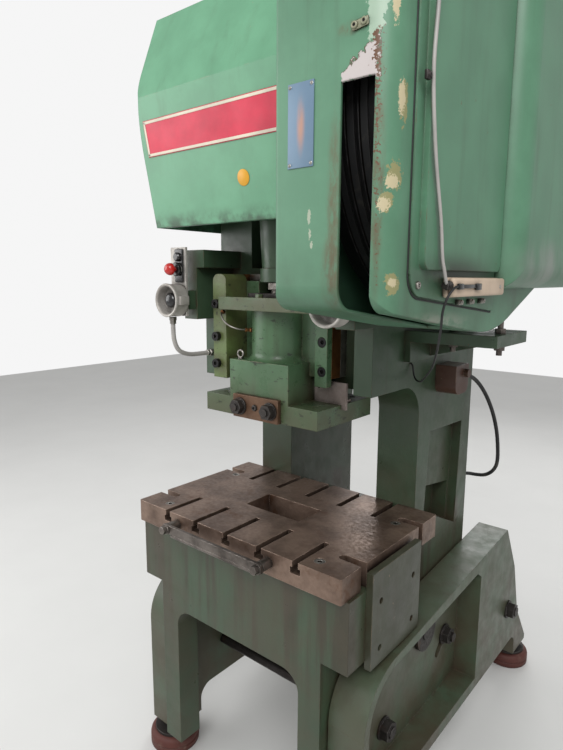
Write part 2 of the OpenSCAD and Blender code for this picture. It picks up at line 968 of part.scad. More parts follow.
// Side outline: a front corner, a shallow slope to the arc below the wheel, and a rear slope
// beside the belts' lower run; the slopes lie a hair inside their tangents
module guard_side_outline(inset) {
    y0 = guard_front + inset;
    y1 = guard_back - inset;
    z1 = guard_top - inset;
    corner = [guard_front + guard_r, guard_corner_z];
    hub = [ram_y, crank_z];
    turn = atan2(crank_z - guard_corner_z, ram_y - guard_front - guard_r)
        + acos((guard_low_r - guard_r) / norm(hub - corner));
    slope = [cos(turn), sin(turn)];
    low = guard_low_r - inset - 0.3;
    tail = hub + low * [cos(guard_tail), -sin(guard_tail)];
    polygon([[y0, guard_corner_z], [y0, z1], [y1, z1],
        [y1, tail[1] + (y1 - tail[0]) * tan(90 - guard_tail)], tail, hub,
        hub - low * slope, corner - (guard_r - inset - 0.3) * slope, corner]);
    translate(corner)
        circle(guard_r - inset, $fn = 96);
    translate(hub)
        circle(guard_low_r - inset, $fn = 128);
}

module guard_body(inset) {
    intersection() {
        prism_x(guard_in + inset, guard_out - inset)
            guard_side_outline(inset);
        prism_z(guard_z - cut, guard_top + cut)
            union() {
                rounded_rect([guard_in + inset, guard_front + inset],
                    [guard_in + 150, guard_back - inset], 8 - inset);
                rounded_rect([guard_in + 75, guard_front + inset],
                    [guard_out - inset, guard_back - inset], guard_edge_r - inset);
            }
    }
}

module flywheel_guard() {
    color(mint_green)
        difference() {
            union() {
                difference() {
                    union() {
                        guard_body(0);
                        for (x = stay_x)
                            block([x - 18, stay_y - 18, stay_foot_z],
                                [x + 18, stay_y + 18, stay_foot_z + 30]);
                    }
                    guard_body(sheet);
                }
                bar_x(boss_r, cover_half, guard_in + sheet, ram_y, crank_z);
            }
            bar_x(boss_r - 48, cover_half - cut, guard_in + sheet + cut, ram_y, crank_z);
            block([window_x, guard_front - cut, guard_z - cut],
                [window_x + window_w, window_back, window_top]);
            block([guard_in + 45, guard_back - sheet - cut, crank_z - 290],
                [guard_out - 12, guard_back + cut, crank_z + 280]);
            prism_x(guard_out - sheet - cut, guard_out + cut)
                polygon([[panel_front + 15, guard_z + 150], [panel_back - 15, guard_z + 80],
                    [panel_back - 15, guard_top - 45], [panel_front + 15, guard_top - 45]]);
        }
}

module guard_panel() {
    x0 = guard_out;
    color(mint_green)
        difference() {
            union() {
                prism_x(x0, x0 + panel_t) {
                    polygon([[panel_front, guard_z + 130], [panel_front + 45, guard_z + 88],
                        [panel_back, guard_z + 48], [panel_back, guard_top - 30],
                        [panel_front, guard_top - 30]]);
                    translate([panel_front + 45, guard_z + 131])
                        circle(43);
                }
                prism_x(x0, x0 + panel_t + panel_raise)
                    rounded_rect([panel_front + 30, guard_z + 138], [panel_back, guard_top - 36], 20);
            }
            prism_x(x0 - cut, x0 + panel_raise)
                rounded_rect([panel_front + 38, guard_z + 146], [panel_back - 8, guard_top - 44], 14);
        }
}

// Belt cover: a bulge outside the guard that runs back over the motor pulley
module belt_body(inset) {
    intersection() {
        prism_z(belt_z + inset, guard_top - inset)
            union() {
                rounded_rect([guard_out - 140, belt_front + inset],
                    [belt_out - inset, belt_back - inset], belt_edge_r - inset);
                rounded_rect([belt_inner_x + inset, guard_back - 140],
                    [belt_out - inset, belt_back - inset], belt_edge_r - inset);
            }
        prism_y(belt_front - cut, belt_back + cut)
            union() {
                rounded_rect([belt_inner_x - 200, belt_z + inset],
                    [belt_out - inset, guard_top + 200], belt_edge_r - inset);
            }
    }
}

module belt_cover() {
    color(mint_green)
        difference() {
            union() {
                difference() {
                    belt_body(0);
                    belt_body(sheet);
                }
                intersection() {
                    belt_body(0);
                    block([belt_inner_x, guard_back, belt_z], [guard_out + 10, guard_back + sheet, crank_z - 290]);
                }
            }
            block([0, belt_front - cut, belt_z - cut], [guard_out, guard_back, guard_top + cut]);
            bar_x(motor_shaft_r + 10, belt_inner_x - cut, belt_inner_x + sheet + cut, motor_y, motor_z);
        }
}

// Cast shelf on the right upright that carries the guard on two threaded rods
stay_y = -240;
stay_x = [440, 575];
stay_foot_z = crank_z - 398;
shelf_z = crank_z - 513;
shelf_t = 33;

module guard_stay() {
    y0 = stay_y - 90;
    y1 = stay_y + 150;
    z1 = shelf_z + shelf_t;
    color(oily_green)
        difference() {
            union() {
                block([upright_out, y0, shelf_z], [600, y1, z1]);
                block([upright_out, y0, shelf_z - 60], [upright_out + 20, y1, z1]);
                prism_y(y0 + 130, y0 + 150)
                    polygon([[upright_out + 10, shelf_z - 55], [560, shelf_z + 1], [upright_out + 10, shelf_z + 1]]);
            }
            for (x = stay_x)
                bar_z(8 + seat_fit, shelf_z - cut, z1 + cut, x, stay_y);
        }
}

module stay_rods() {
    color(bare_steel)
        for (x = stay_x) {
            bar_z(8, shelf_z - 28, stay_foot_z, x, stay_y);
            for (z = [shelf_z - 14, shelf_z + shelf_t, stay_foot_z - 14])
                difference() {
                    hex_z(15, z, z + 14, x, stay_y);
                    bar_z(8 + seat_fit, z - cut, z + 15, x, stay_y);
                }
        }
}

// Motor

module motor() {
    x0 = motor_x[0];
    x1 = motor_x[1];
    color(dark_steel)
        difference() {
            union() {
                bar_x(motor_r, x0 + 60, x1 - 40, motor_y, motor_z);
                bar_x(motor_r - 14, x0, x1 - 12, motor_y, motor_z);
                bar_x(52, x1 - 20, x1, motor_y, motor_z);
                for (a = [0:15:345])
                    translate([x0 + 70, motor_y, motor_z])
                        rotate([a, 0, 0])
                            translate([0, motor_r - 6, -2])
                                cube([x1 - x0 - 120, 14, 4]);
                for (x = [x0 + 90, x1 - 90])
                    block([x - 22, motor_y - 105, motor_z - 150], [x + 22, motor_y + 105, motor_z - 90]);
                block([x0 + 120, motor_y - 50, motor_z + motor_r - 20],
                    [x0 + 220, motor_y + 50, motor_z + motor_r + 45]);
            }
            bar_x(motor_shaft_r + run_fit, x1 - 60, x1 + cut, motor_y, motor_z);
        }
}

module motor_bracket() {
    z1 = motor_z - 150;
    color(oily_green)
        union() {
            block([motor_x[0] - 10, upright_back, z1 - 20], [motor_x[1] - 20, motor_y + 130, z1]);
            block([motor_x[0] - 10, upright_back, z1 - 200], [motor_x[1] - 70, upright_back + 20, z1]);
            for (x = [motor_x[0], 180, motor_x[1] - 90])
                prism_x(x, x + 14)
                    polygon([[upright_back + 19, z1 - 180], [motor_y + 110, z1 - 19],
                        [upright_back + 19, z1 - 19]]);
        }
}

// Outline round two wheels of radii a and b; the straight runs lie a hair inside their tangents
module belt_loop(a, b) {
    near = a - 0.4;
    far = b - 0.4;
    dy = motor_y - ram_y;
    dz = motor_z - crank_z;
    span = norm([dy, dz]);
    lean = atan2(dz, dy);
    open = acos((a - b) / span);
    translate([ram_y, crank_z]) {
        circle(a, $fn = 128);
        translate([dy, dz])
            circle(b);
        polygon([[near * cos(lean + open), near * sin(lean + open)],
            [dy + far * cos(lean + open), dz + far * sin(lean + open)],
            [dy + far * cos(lean - open), dz + far * sin(lean - open)],
            [near * cos(lean - open), near * sin(lean - open)]]);
    }
}

module belts() {
    color(black_steel)
        for (x = groove_x)
            difference() {
                prism_x(x - belt_w / 2, x + belt_w / 2)
                    belt_loop(wheel_r - belt_in, pulley_r - belt_in);
                prism_x(x - belt_w / 2 - cut, x + belt_w / 2 + cut)
                    belt_loop(wheel_r - belt_in - belt_t, pulley_r - belt_in - belt_t);
            }
}

// Button stations

module button_housing() {
    difference() {
        bar_y(ring_r, palm_front, palm_back, palm_x, palm_z);
        bar_y(ring_r - 9, palm_front - cut, palm_front + 35, palm_x, palm_z);
        bar_y(10 + run_fit, palm_front, palm_back - 1, palm_x, palm_z);
        // Wide gaps at the sides of the ring guard
        block([palm_x - ring_r - cut, palm_front - cut, palm_z - 16],
            [palm_x + ring_r + cut, palm_front + 12, palm_z + 16]);
    }
}

module button_housings() {
    color(cast_silver)
        both_sides()
            button_housing();
}

module button_brackets() {
    color(oily_green) {
        block([palm_x - 30, palm_back, palm_z - 30], [palm_x + 20, strap_front, palm_z + 30]);
        block([-palm_x - 20, palm_back + stop_plate_t, palm_z - 30], [-palm_x + 30, strap_front, palm_z + 30]);
    }
}

module stop_plate() {
    color(cast_silver)
        difference() {
            union() {
                block([stop_x - stop_plate_half - 7, palm_back, palm_z - 50],
                    [stop_x + stop_plate_half - 7, palm_back + stop_plate_t, stop_z + 68]);
                bar_y(17, palm_back - 12, palm_back, stop_x, stop_z);
            }
            bar_y(8 + run_fit, palm_back - 13, palm_back + stop_plate_t + cut, stop_x, stop_z);
        }
}

module palm_button() {
    color(black_steel) {
        bar_y(10, palm_front + 20, palm_back - 8, palm_x, palm_z);
        intersection() {
            bar_y(palm_r, palm_front + 8, palm_front + 24, palm_x, palm_z);
            translate([palm_x, palm_front + 8 + 40, palm_z])
                sphere(40, $fn = 96);
        }
    }
}

module palm_button_left() {
    mirror([1, 0, 0])
        palm_button();
}

module palm_button_right() {
    palm_button();
}

module stop_button() {
    color([0.75, 0.08, 0.06]) {
        bar_y(8, palm_back - 40, palm_back + 1, stop_x, stop_z);
        intersection() {
            bar_y(19, palm_back - 56, palm_back - 34, stop_x, stop_z);
            translate([stop_x, palm_back - 56 + 24, stop_z])
                sphere(24, $fn = 96);
        }
    }
}

module conduit() {
    color(cast_silver)
        tube(conduit_route, conduit_r, [1, 0, 0], 1, 10);
}

// Valve box on the right upright, with a round lower edge and a fitting
module valve_box() {
    y0 = upright_front + 107;
    z0 = head_z - 45;
    color([0.35, 0.24, 0.18])
        union() {
            prism_x(upright_out, upright_out + 70) {
                translate([y0, z0 + 30])
                    square([100, 65]);
                translate([y0 + 30, z0])
                    square([40, 31]);
                for (y = [y0 + 30, y0 + 70])
                    translate([y, z0 + 30])
                        circle(30);
            }
            bar_x(14, upright_out + 70, upright_out + 84, y0 + 72, z0 + 66);
        }
}

module air_hose() {
    color(black_steel)
        tube(hose_route, hose_r, [1, 0.1, 0], 2);
}

// Long rounded switch housing under the guard's side panel, with a black clamp
module junction_box() {
    x0 = guard_out + panel_t;
    color(tan_plastic)
        prism_x(x0, x0 + 26)
            rounded_rect([-765, guard_z + 85], [belt_front - 4, guard_z + 125], 13);
    color(black_steel)
        block([x0 + 26, -755, guard_z + 101], [x0 + 34, -640, guard_z + 113]);
}

module guard_cable() {
    color(cast_silver)
        tube(cable_route, cable_r, [1, 0, 0.1], 1);
}

module signal_cord() {
    color(black_steel)
        tube(cord_route, cord_r, [1, 0.3, 0], 2);
}

// Ram

// Shank hole and the pocket of the clamp cap
module shank_hole() {
    bar_z(shank_r, ram_z - cut, ram_z + cap_h, 0, ram_y);
}

cap_half = 89;
cap_face = ram_y - 115;
cap_stud_z = ram_z + cap_h / 2;

// Shanks of the two clamp studs
module clamp_shanks(r, y1) {
    for (x = [-60, 60])
        bar_y(r, cap_face - 30, y1, x, cap_stud_z);
}

// Cavity in which the ball sits and the screw leans
module ball_cavity(z0, z1, r) {
    prism_z(z0, z1)
        slot_outline(0, ram_y, ram_y + throw, r);
}

module ram() {
    front = ram_y - 101;
    wing_front = ram_y + slide_fit;
    wing_back = way_front - slide_fit;
    wing_top = gib_z + gib_h - 21;
    box_top = flange_z + 117;
    barrel_top = flange_z + 303;
    color(oily_green)
        difference() {
            union() {
                block([-flange_half, front, ram_z], [flange_half, ram_y + 177, flange_z]);
                block([-box_half, front, flange_z - cut], [box_half, ram_y + 77, box_top]);
                bar_z(barrel_r, box_top - cut, barrel_top, 0, ram_y);
                block([-box_half + 4, ram_y, box_top - cut], [box_half - 4, ram_y + 127, barrel_top]);
                block([-wing_out, wing_front, liner_z], [wing_out, wing_back, wing_top]);
                // Fillet round the foot of the barrel
                translate([0, ram_y, box_top])
                    rotate_extrude()
                        difference() {
                            square([barrel_r + 22, 22]);
                            translate([barrel_r + 22, 22])
                                circle(22);
                        }
            }
            // The fillet stays ahead of the wings
            both_sides()
                block([box_half, ram_y - 60, box_top - 2], [wing_out + cut, ram_y, barrel_top]);
            block([-cap_half - slide_fit, front - cut, ram_z - cut],
                [cap_half + slide_fit, ram_y, ram_z + cap_h + slide_fit]);
            shank_hole();
            clamp_shanks(11 + seat_fit, ram_y + 40);
            ball_cavity(ball_z - 75, barrel_top + 80, ball_r + 2.5);
            both_sides()
                for (y = [ram_y - 53, ram_y + 137])
                    bar_z(9, ram_z - cut, flange_z + cut, flange_half - 41, y);
            bar_z(5 + seat_fit, box_top - 16, box_top + cut, -92, front + 23);
            block([-barrel_r, wing_front - cut, barrel_top], [barrel_r, wing_back + cut, wing_top + cut]);
        }
}

module clamp_cap() {
    color([0.42, 0.28, 0.20])
        difference() {
            block([-cap_half, cap_face, ram_z], [cap_half, ram_y - 1, ram_z + cap_h]);
            bar_z(shank_r, ram_z - cut, ram_z + cap_h + cut, 0, ram_y);
            clamp_shanks(11 + seat_fit, ram_y + 40);
            bar_y(7, cap_face - cut, cap_face + 40, 0, cap_stud_z + 2);
        }
}

module clamp_studs() {
    color(dark_steel) {
        clamp_shanks(11, ram_y + 39);
        for (x = [-60, 60])
            difference() {
                union() {
                    bar_y(26, cap_face - 5, cap_face, x, cap_stud_z);
                    hex_y(23, cap_face - 24, cap_face - 5, x, cap_stud_z);
                }
                bar_y(11 + seat_fit, cap_face - 30, cap_face + cut, x, cap_stud_z);
            }
    }
}

// Steel angle that stands on the flange at the right
module side_bracket() {
    y0 = ram_y + 15;
    color(bare_steel)
        difference() {
            union() {
                block([box_half + 8, y0, flange_z], [flange_half + 16, y0 + 8, flange_z + 65]);
                block([flange_half, y0, flange_z - 14], [flange_half + 16, y0 + 8, flange_z + 1]);
                block([box_half + 8, y0, flange_z], [flange_half - 6, y0 + 60, flange_z + 8]);
            }
            bar_z(9, flange_z - cut, flange_z + 9, flange_half - 41, y0 + 32);
            bar_y(5, y0 - cut, y0 + 9, box_half + 24, flange_z + 45);
        }
}

module lifting_eye() {
    x = -92;
    y = ram_y - 78;
    z = flange_z + 117;
    color(bare_steel) {
        bar_z(5, z - 15, z + 4, x, y);
        bar_z(9, z, z + 3, x, y);
        translate([x, y, z + 15])
            rotate([90, 0, 0])
                rotate_extrude()
                    translate([11, 0])
                        circle(3.4, $fn = 24);
    }
}

module ball_seat() {
    color(bronze)
        difference() {
            ball_cavity(ball_z - 75, ball_z - 52, ball_r + 2.5 - seat_fit);
            translate([0, ram_y, ball_z])
                sphere(ball_r + 18, $fn = 96);
        }
}

module ball_ring() {
    z0 = flange_z + 303;
    color(dark_steel)
        difference() {
            prism_z(z0, z0 + 14)
                rounded_rect([-78, ram_y - 78], [78, ram_y + 117], 30);
            ball_cavity(z0 - cut, z0 + 15, screw_r + 3);
        }
}

// Crank

module crankshaft() {
    color(bare_steel)
        union() {
            bar_x(journal_r, -boss_out + 6, -cheek_in - cut, ram_y, crank_z);
            bar_x(journal_r, cheek_in + cut, seat_x, ram_y, crank_z);
            both_sides()
                bar_x(cheek_r, cheek_in, cheek_out, ram_y, crank_z);
            bar_x(crankpin_r, -cheek_in - cut, cheek_in + cut, ram_y, pin_z);
            bar_x(seat_r, seat_x - cut, hub_x[1], ram_y, crank_z);
            bar_x(nose_r, hub_x[1] - cut, hub_x[1] + 22, ram_y, crank_z);
        }
}

module clutch_unit() {
    x0 = hub_x[1] + 1;
    color(dark_steel)
        difference() {
            union() {
                bar_x(150, x0, x0 + 12, ram_y, crank_z);
                bar_x(62, x0, x0 + 20, ram_y, crank_z);
                for (a = [0:60:300])
                    bar_x(12, x0 + 11, x0 + 18, ram_y + 110 * cos(a), crank_z + 110 * sin(a));
            }
            bar_x(nose_r + seat_fit, x0 - cut, x0 + 21, ram_y, crank_z);
        }
}

// Pitman

// Shanks of the cap bolts at the big end and of the clamp bolts at the sleeve
module pitman_shanks(r) {
    for (y = [ram_y - rod_bolt_y, ram_y + rod_bolt_y], x = [-38, 38])
        bar_z(r, pin_z - 44, pin_z + 46, x, y);
}

module pitman() {
    color([0.30, 0.36, 0.30])
        difference() {
            union() {
                bar_x(big_end_r, -cheek_in + 1, cheek_in - 1, ram_y, pin_z);
                block([-cheek_in + 1, ram_y - rod_ear, pin_z - 44], [cheek_in - 1, ram_y + rod_ear, pin_z]);
                translate([0, ram_y, sleeve_z])
                    cylinder(h = pin_z - 60 - sleeve_z, r1 = 52, r2 = 70);
                bar_z(60, sleeve_z, sleeve_z + 40, 0, ram_y);
            }
            block([-cheek_in, ram_y - rod_ear - cut, pin_z], [cheek_in, ram_y + rod_ear + cut, pin_z + 130]);
            bar_x(big_bore_r + seat_fit, -cheek_in, cheek_in, ram_y, pin_z);
            bar_z(screw_r + seat_fit, sleeve_z - cut, screw_top + 8, 0, ram_y);
            pitman_shanks(10 + seat_fit);
        }
}

module pitman_cap() {
    color([0.30, 0.36, 0.30])
        difference() {
            union() {
                bar_x(big_end_r, -cheek_in + 1, cheek_in - 1, ram_y, pin_z);
                block([-cheek_in + 1, ram_y - rod_ear, pin_z], [cheek_in - 1, ram_y + rod_ear, pin_z + 30]);
            }
            block([-cheek_in, ram_y - rod_ear - cut, pin_z - 130], [cheek_in, ram_y + rod_ear + cut, pin_z]);
            bar_x(big_bore_r + seat_fit, -cheek_in, cheek_in, ram_y, pin_z);
            pitman_shanks(10 + seat_fit);
            for (y = [ram_y - rod_bolt_y, ram_y + rod_bolt_y], x = [-38, 38])
                bar_z(18, pin_z + 30, pin_z + 60, x, y);
        }
}

module pitman_bolts() {
    color(dark_steel) {
        pitman_shanks(10);
        for (y = [ram_y - rod_bolt_y, ram_y + rod_bolt_y], x = [-38, 38])
            for (z = [pin_z + 30, pin_z - 58])
                difference() {
                    hex_z(15, z, z + 14, x, y);
                    bar_z(10 + seat_fit, z - cut, z + 15, x, y);
                }
    }
}

module pitman_bush() {
    color(bronze)
        difference() {
            bar_x(big_bore_r, -cheek_in + 1, cheek_in - 1, ram_y, pin_z);
            bar_x(crankpin_r + run_fit, -cheek_in, cheek_in, ram_y, pin_z);
        }
}

module adjusting_screw() {
    color(bare_steel)
        union() {
            translate([0, ram_y, ball_z])
                sphere(ball_r, $fn = 96);
            bar_z(screw_r - 4, ball_z, ball_z + 60, 0, ram_y);
            bar_z(screw_r, ball_z + 58, screw_top, 0, ram_y);
            hex_z(screw_r + 10, sleeve_z - 22, sleeve_z - 2, 0, ram_y);
        }
}

// Flywheel and pulley

// Ring of V-grooves round a wheel of radius r, as a cut
module grooves(r) {
    for (x = groove_x)
        translate([x, 0, 0])
            rotate([0, 90, 0])
                rotate_extrude($fn = 128)
                    polygon([[r + cut, -groove_w / 2], [r + cut, groove_w / 2],
                        [r - groove_depth, groove_w / 2 - 4], [r - groove_depth, 4 - groove_w / 2]]);
}

module flywheel() {
    rim_in = wheel_r - 80;
    web_x = rim_x + rim_w / 2 - 18;
    color(dark_steel)
        difference() {
            union() {
                difference() {
                    bar_x(wheel_r, rim_x, rim_x + rim_w, ram_y, crank_z, $fn = 128);
                    bar_x(rim_in, rim_x - cut, rim_x + rim_w + cut, ram_y, crank_z, $fn = 128);
                }
                bar_x(rim_in + cut, web_x, web_x + 36, ram_y, crank_z, $fn = 128);
                bar_x(96, hub_x[0], hub_x[1], ram_y, crank_z);
            }
            for (a = [0:60:300])
                bar_x(62, web_x - cut, web_x + 37, ram_y + 215 * cos(a), crank_z + 215 * sin(a));
            bar_x(seat_r + run_fit, hub_x[0] - cut, hub_x[1] + cut, ram_y, crank_z);
            translate([0, ram_y, crank_z])
                grooves(wheel_r);
        }
}

module motor_pulley() {
    color(dark_steel)
        difference() {
            union() {
                bar_x(motor_shaft_r, motor_x[1] - 58, 592, motor_y, motor_z);
                bar_x(pulley_r, groove_x[0] - 16, groove_x[2] + 16, motor_y, motor_z);
                bar_x(motor_shaft_r + 18, groove_x[2] + 15, groove_x[2] + 34, motor_y, motor_z);
            }
            translate([0, motor_y, motor_z])
                grooves(pulley_r);
        }
}

leg_left();
leg_right();
rear_beam();
tie_rods();
isolator_pads();
isolator_studs();
trunnion_pins();
frame();
tilt_lock_bolts();
bolster();
bolster_screws();
bed_side_plate();
front_bar();
front_bar_bolts();
gib_left();
gib_right();
gib_liners();
way_plates();
gib_screws();
tie_bar();
main_bushes();
bearing_caps();
cap_bolts();
crank_cover();
flywheel_guard();
guard_panel();
belt_cover();
guard_stay();
stay_rods();
motor();
motor_bracket();
belts();
button_housings();
button_brackets();
stop_plate();
conduit();
valve_box();
air_hose();
junction_box();
guard_cable();
signal_cord();
ram();
clamp_cap();
clamp_studs();
side_bracket();
lifting_eye();
ball_seat();
ball_ring();
crankshaft();
clutch_unit();
pitman();
pitman_cap();
pitman_bush();
pitman_bolts();
adjusting_screw();
flywheel();
motor_pulley();
palm_button_left();
palm_button_right();
stop_button();
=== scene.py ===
"""Looks of a mechanical stamping press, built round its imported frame.

Row frame, in metres: X = 0 is the press's centre plane, with the flywheel on +X.
-Y is the operator's side. Z = 0 is the floor.
"""
import math

import bmesh
import bpy
from mathutils import Matrix, Vector


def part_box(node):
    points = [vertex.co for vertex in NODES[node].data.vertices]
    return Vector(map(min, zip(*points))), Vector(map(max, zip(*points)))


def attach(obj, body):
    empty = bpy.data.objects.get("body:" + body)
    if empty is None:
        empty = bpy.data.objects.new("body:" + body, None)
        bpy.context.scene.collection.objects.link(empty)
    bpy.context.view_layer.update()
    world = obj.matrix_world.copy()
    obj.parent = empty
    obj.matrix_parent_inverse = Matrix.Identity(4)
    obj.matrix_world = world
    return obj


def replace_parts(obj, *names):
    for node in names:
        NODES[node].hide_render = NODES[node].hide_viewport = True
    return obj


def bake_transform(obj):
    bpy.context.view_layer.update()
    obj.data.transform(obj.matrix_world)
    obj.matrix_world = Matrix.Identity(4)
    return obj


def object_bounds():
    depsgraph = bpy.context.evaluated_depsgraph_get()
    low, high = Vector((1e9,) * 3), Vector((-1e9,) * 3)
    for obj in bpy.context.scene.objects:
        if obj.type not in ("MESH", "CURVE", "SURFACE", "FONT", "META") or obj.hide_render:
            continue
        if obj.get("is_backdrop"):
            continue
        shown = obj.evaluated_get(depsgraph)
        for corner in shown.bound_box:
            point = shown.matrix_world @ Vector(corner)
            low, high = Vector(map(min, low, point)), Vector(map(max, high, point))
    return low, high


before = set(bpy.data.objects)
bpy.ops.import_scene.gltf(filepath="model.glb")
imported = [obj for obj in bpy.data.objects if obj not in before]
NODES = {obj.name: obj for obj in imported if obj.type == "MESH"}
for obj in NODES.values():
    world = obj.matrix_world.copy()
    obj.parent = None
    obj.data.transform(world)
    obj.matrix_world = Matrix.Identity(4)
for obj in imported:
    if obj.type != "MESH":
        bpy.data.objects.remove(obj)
cad_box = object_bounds()

LOW, HIGH = 0, 1
X, Y, Z = 0, 1, 2
RIGHT, LEFT = (1, 0, 0), (-1, 0, 0)
FRONT, BACK = (0, -1, 0), (0, 1, 0)
UP, DOWN = (0, 0, 1), (0, 0, -1)


# Places that more than one piece uses, from the frame
def side(node, end, axis):
    """One side of a node's box, to a tenth of a millimetre."""
    return round(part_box(node)[end][axis], 4)


def middle(node, axis):
    return (side(node, LOW, axis) + side(node, HIGH, axis)) / 2


GUARD_FRONT = side("flywheel_guard", LOW, Y)
GUARD_REAR = side("flywheel_guard", HIGH, Y)
GUARD_OUT = side("flywheel_guard", HIGH, X)
GUARD_TOP = side("flywheel_guard", HIGH, Z)
PANEL_FACE = side("junction_box", LOW, X)
PALM_X = middle("palm_button_right", X)
PALM_Y = side("button_housings", LOW, Y)
PALM_Z = middle("palm_button_right", Z)

# Camera: the photograph's place and angle, with its focal length and height in pixels
PHOTO_FOCAL, PHOTO_HEIGHT = 577.0, 750.0
SENSOR_HEIGHT = 36.0
CAMERA_PLACE = (1.1375, -1.856, 1.698)
CAMERA_FORWARD = (-0.6336, 0.7561, -0.16494)
CAMERA_RIGHT = (0.7659, 0.6428, 0.00496)


def make_camera():
    data = bpy.data.cameras.new("photo_camera")
    data.sensor_fit = "VERTICAL"
    data.sensor_height = SENSOR_HEIGHT
    data.lens = PHOTO_FOCAL / PHOTO_HEIGHT * SENSOR_HEIGHT
    data.clip_end = 60.0
    camera = bpy.data.objects.new("photo_camera", data)
    bpy.context.scene.collection.objects.link(camera)
    forward = Vector(CAMERA_FORWARD).normalized()
    right = Vector(CAMERA_RIGHT)
    right = (right - forward * right.dot(forward)).normalized()
    up = right.cross(forward)
    turn = Matrix((right, up, -forward)).transposed()
    camera.matrix_world = Matrix.Translation(CAMERA_PLACE) @ turn.to_4x4()
    bpy.context.scene.camera = camera


make_camera()


def srgb(r, g, b):
    """A colour given as 0 to 255 steps, as linear light with alpha."""
    def linear(c):
        c = c / 255.0
        return c / 12.92 if c <= 0.04045 else ((c + 0.055) / 1.055) ** 2.4
    return (linear(r), linear(g), linear(b), 1.0)


MATERIALS = {}


class Shader:
    """A node material that is built up from its own places and masks."""

    # Sockets of a colour Mix node
    MASK, FIRST, SECOND, MIXED = 0, 6, 7, 2
    # Cosine between the true normal and the rounded one, on a face and on an edge
    FLAT, BENT = 0.995, 0.90
    # Share of open space round a point, in the open and in a corner
    OPEN, CLOSED = 0.85, 0.35

    def __init__(self, name):
        self.name = name
        self.mat = bpy.data.materials.new(name)
        self.mat.use_nodes = True
        self.tree = self.mat.node_tree
        self.surface = self.tree.nodes["Principled BSDF"]
        self.place = self.add("ShaderNodeTexCoord").outputs["Object"]

    def put(self, socket, value):
        if isinstance(value, bpy.types.NodeSocket):
            self.tree.links.new(value, socket)
        else:
            socket.default_value = value

    def add(self, kind, inputs=None, **settings):
        made = self.tree.nodes.new(kind)
        for key, value in settings.items():
            setattr(made, key, value)
        for key, value in (inputs or {}).items():
            self.put(made.inputs[key], value)
        return made

    def noise(self, scale, detail=4.0, rough=0.6, stretch=(1, 1, 1)):
        place = self.add("ShaderNodeMapping", {"Vector": self.place, "Scale": stretch}).outputs[0]
        return self.add("ShaderNodeTexNoise", {
            "Vector": place, "Scale": scale, "Detail": detail, "Roughness": rough}).outputs["Fac"]

    def ramp(self, value, low, high, start=0.0, end=1.0):
        return self.add("ShaderNodeMapRange", {
            "Value": value, "From Min": low, "From Max": high, "To Min": start, "To Max": end},
            interpolation_type="SMOOTHSTEP").outputs[0]

    def math(self, how, a, b):
        made = self.add("ShaderNodeMath", operation=how, use_clamp=True)
        self.put(made.inputs[0], a)
        self.put(made.inputs[1], b)
        return made.outputs[0]

    def sum_of(self, a, gain, b):
        """a times gain plus b, without limits."""
        made = self.add("ShaderNodeMath", operation="MULTIPLY_ADD")
        for socket, value in zip(made.inputs, (a, gain, b)):
            self.put(socket, value)
        return made.outputs[0]

    def both(self, a, b):
        """Where both masks are: one times the other."""
        return self.math("MULTIPLY", a, b)

    def blend(self, mask, a, b):
        made = self.add("ShaderNodeMix", data_type="RGBA")
        self.put(made.inputs[self.MASK], mask)
        self.put(made.inputs[self.FIRST], a)
        self.put(made.inputs[self.SECOND], b)
        return made.outputs[self.MIXED]

    def over(self, colour, mask, amount, tone):
        """The colour with an amount of a tone laid over it inside the mask."""
        return self.blend(self.both(mask, amount), colour, tone)

    def axis(self, which):
        return self.add("ShaderNodeSeparateXYZ", {0: self.place}).outputs[which]

    def spot(self, centre, size, soft):
        """1 inside an ellipsoid about centre, 0 outside it."""
        away = self.add("ShaderNodeVectorMath", operation="SUBTRACT")
        self.put(away.inputs[0], self.place)
        self.put(away.inputs[1], centre)
        scaled = self.add("ShaderNodeVectorMath", operation="DIVIDE")
        self.put(scaled.inputs[0], away.outputs[0])
        self.put(scaled.inputs[1], size)
        far = self.add("ShaderNodeVectorMath", operation="LENGTH")
        self.put(far.inputs[0], scaled.outputs[0])
        return self.ramp(far.outputs["Value"], 1.0, 1.0 - soft)

    def edges(self, radius):
        """1 along the edges of the solid and 0 on its faces, with the rounded normal."""
        bevel = self.add("ShaderNodeBevel", {"Radius": radius}, samples=4)
        flat = self.add("ShaderNodeNewGeometry").outputs["Normal"]
        dot = self.add("ShaderNodeVectorMath", operation="DOT_PRODUCT")
        self.put(dot.inputs[0], bevel.outputs[0])
        self.put(dot.inputs[1], flat)
        return self.ramp(dot.outputs["Value"], self.FLAT, self.BENT), bevel.outputs[0]

    def crevice(self, distance):
        """1 in corners and gaps, 0 in the open."""
        near = self.add("ShaderNodeAmbientOcclusion", {"Distance": distance}, samples=4)
        return self.ramp(near.outputs["AO"], self.OPEN, self.CLOSED)

    def bump(self, height, strength, distance, normal=None):
        made = self.add("ShaderNodeBump", {"Height": height, "Strength": strength,
                                           "Distance": distance})
        if normal is not None:
            self.put(made.inputs["Normal"], normal)
        return made.outputs[0]

    def finish(self, colour, rough, normal=None, metal=0.0, specular=0.5, coat=0.0):
        self.put(self.surface.inputs["Base Color"], colour)
        self.put(self.surface.inputs["Roughness"], rough)
        self.put(self.surface.inputs["Metallic"], metal)
        self.surface.inputs["Specular IOR Level"].default_value = specular
        self.surface.inputs["Coat Weight"].default_value = coat
        self.surface.inputs["Coat Roughness"].default_value = 0.15
        if normal is not None:
            self.put(self.surface.inputs["Normal"], normal)
        MATERIALS[self.name] = self.mat
        return self.mat


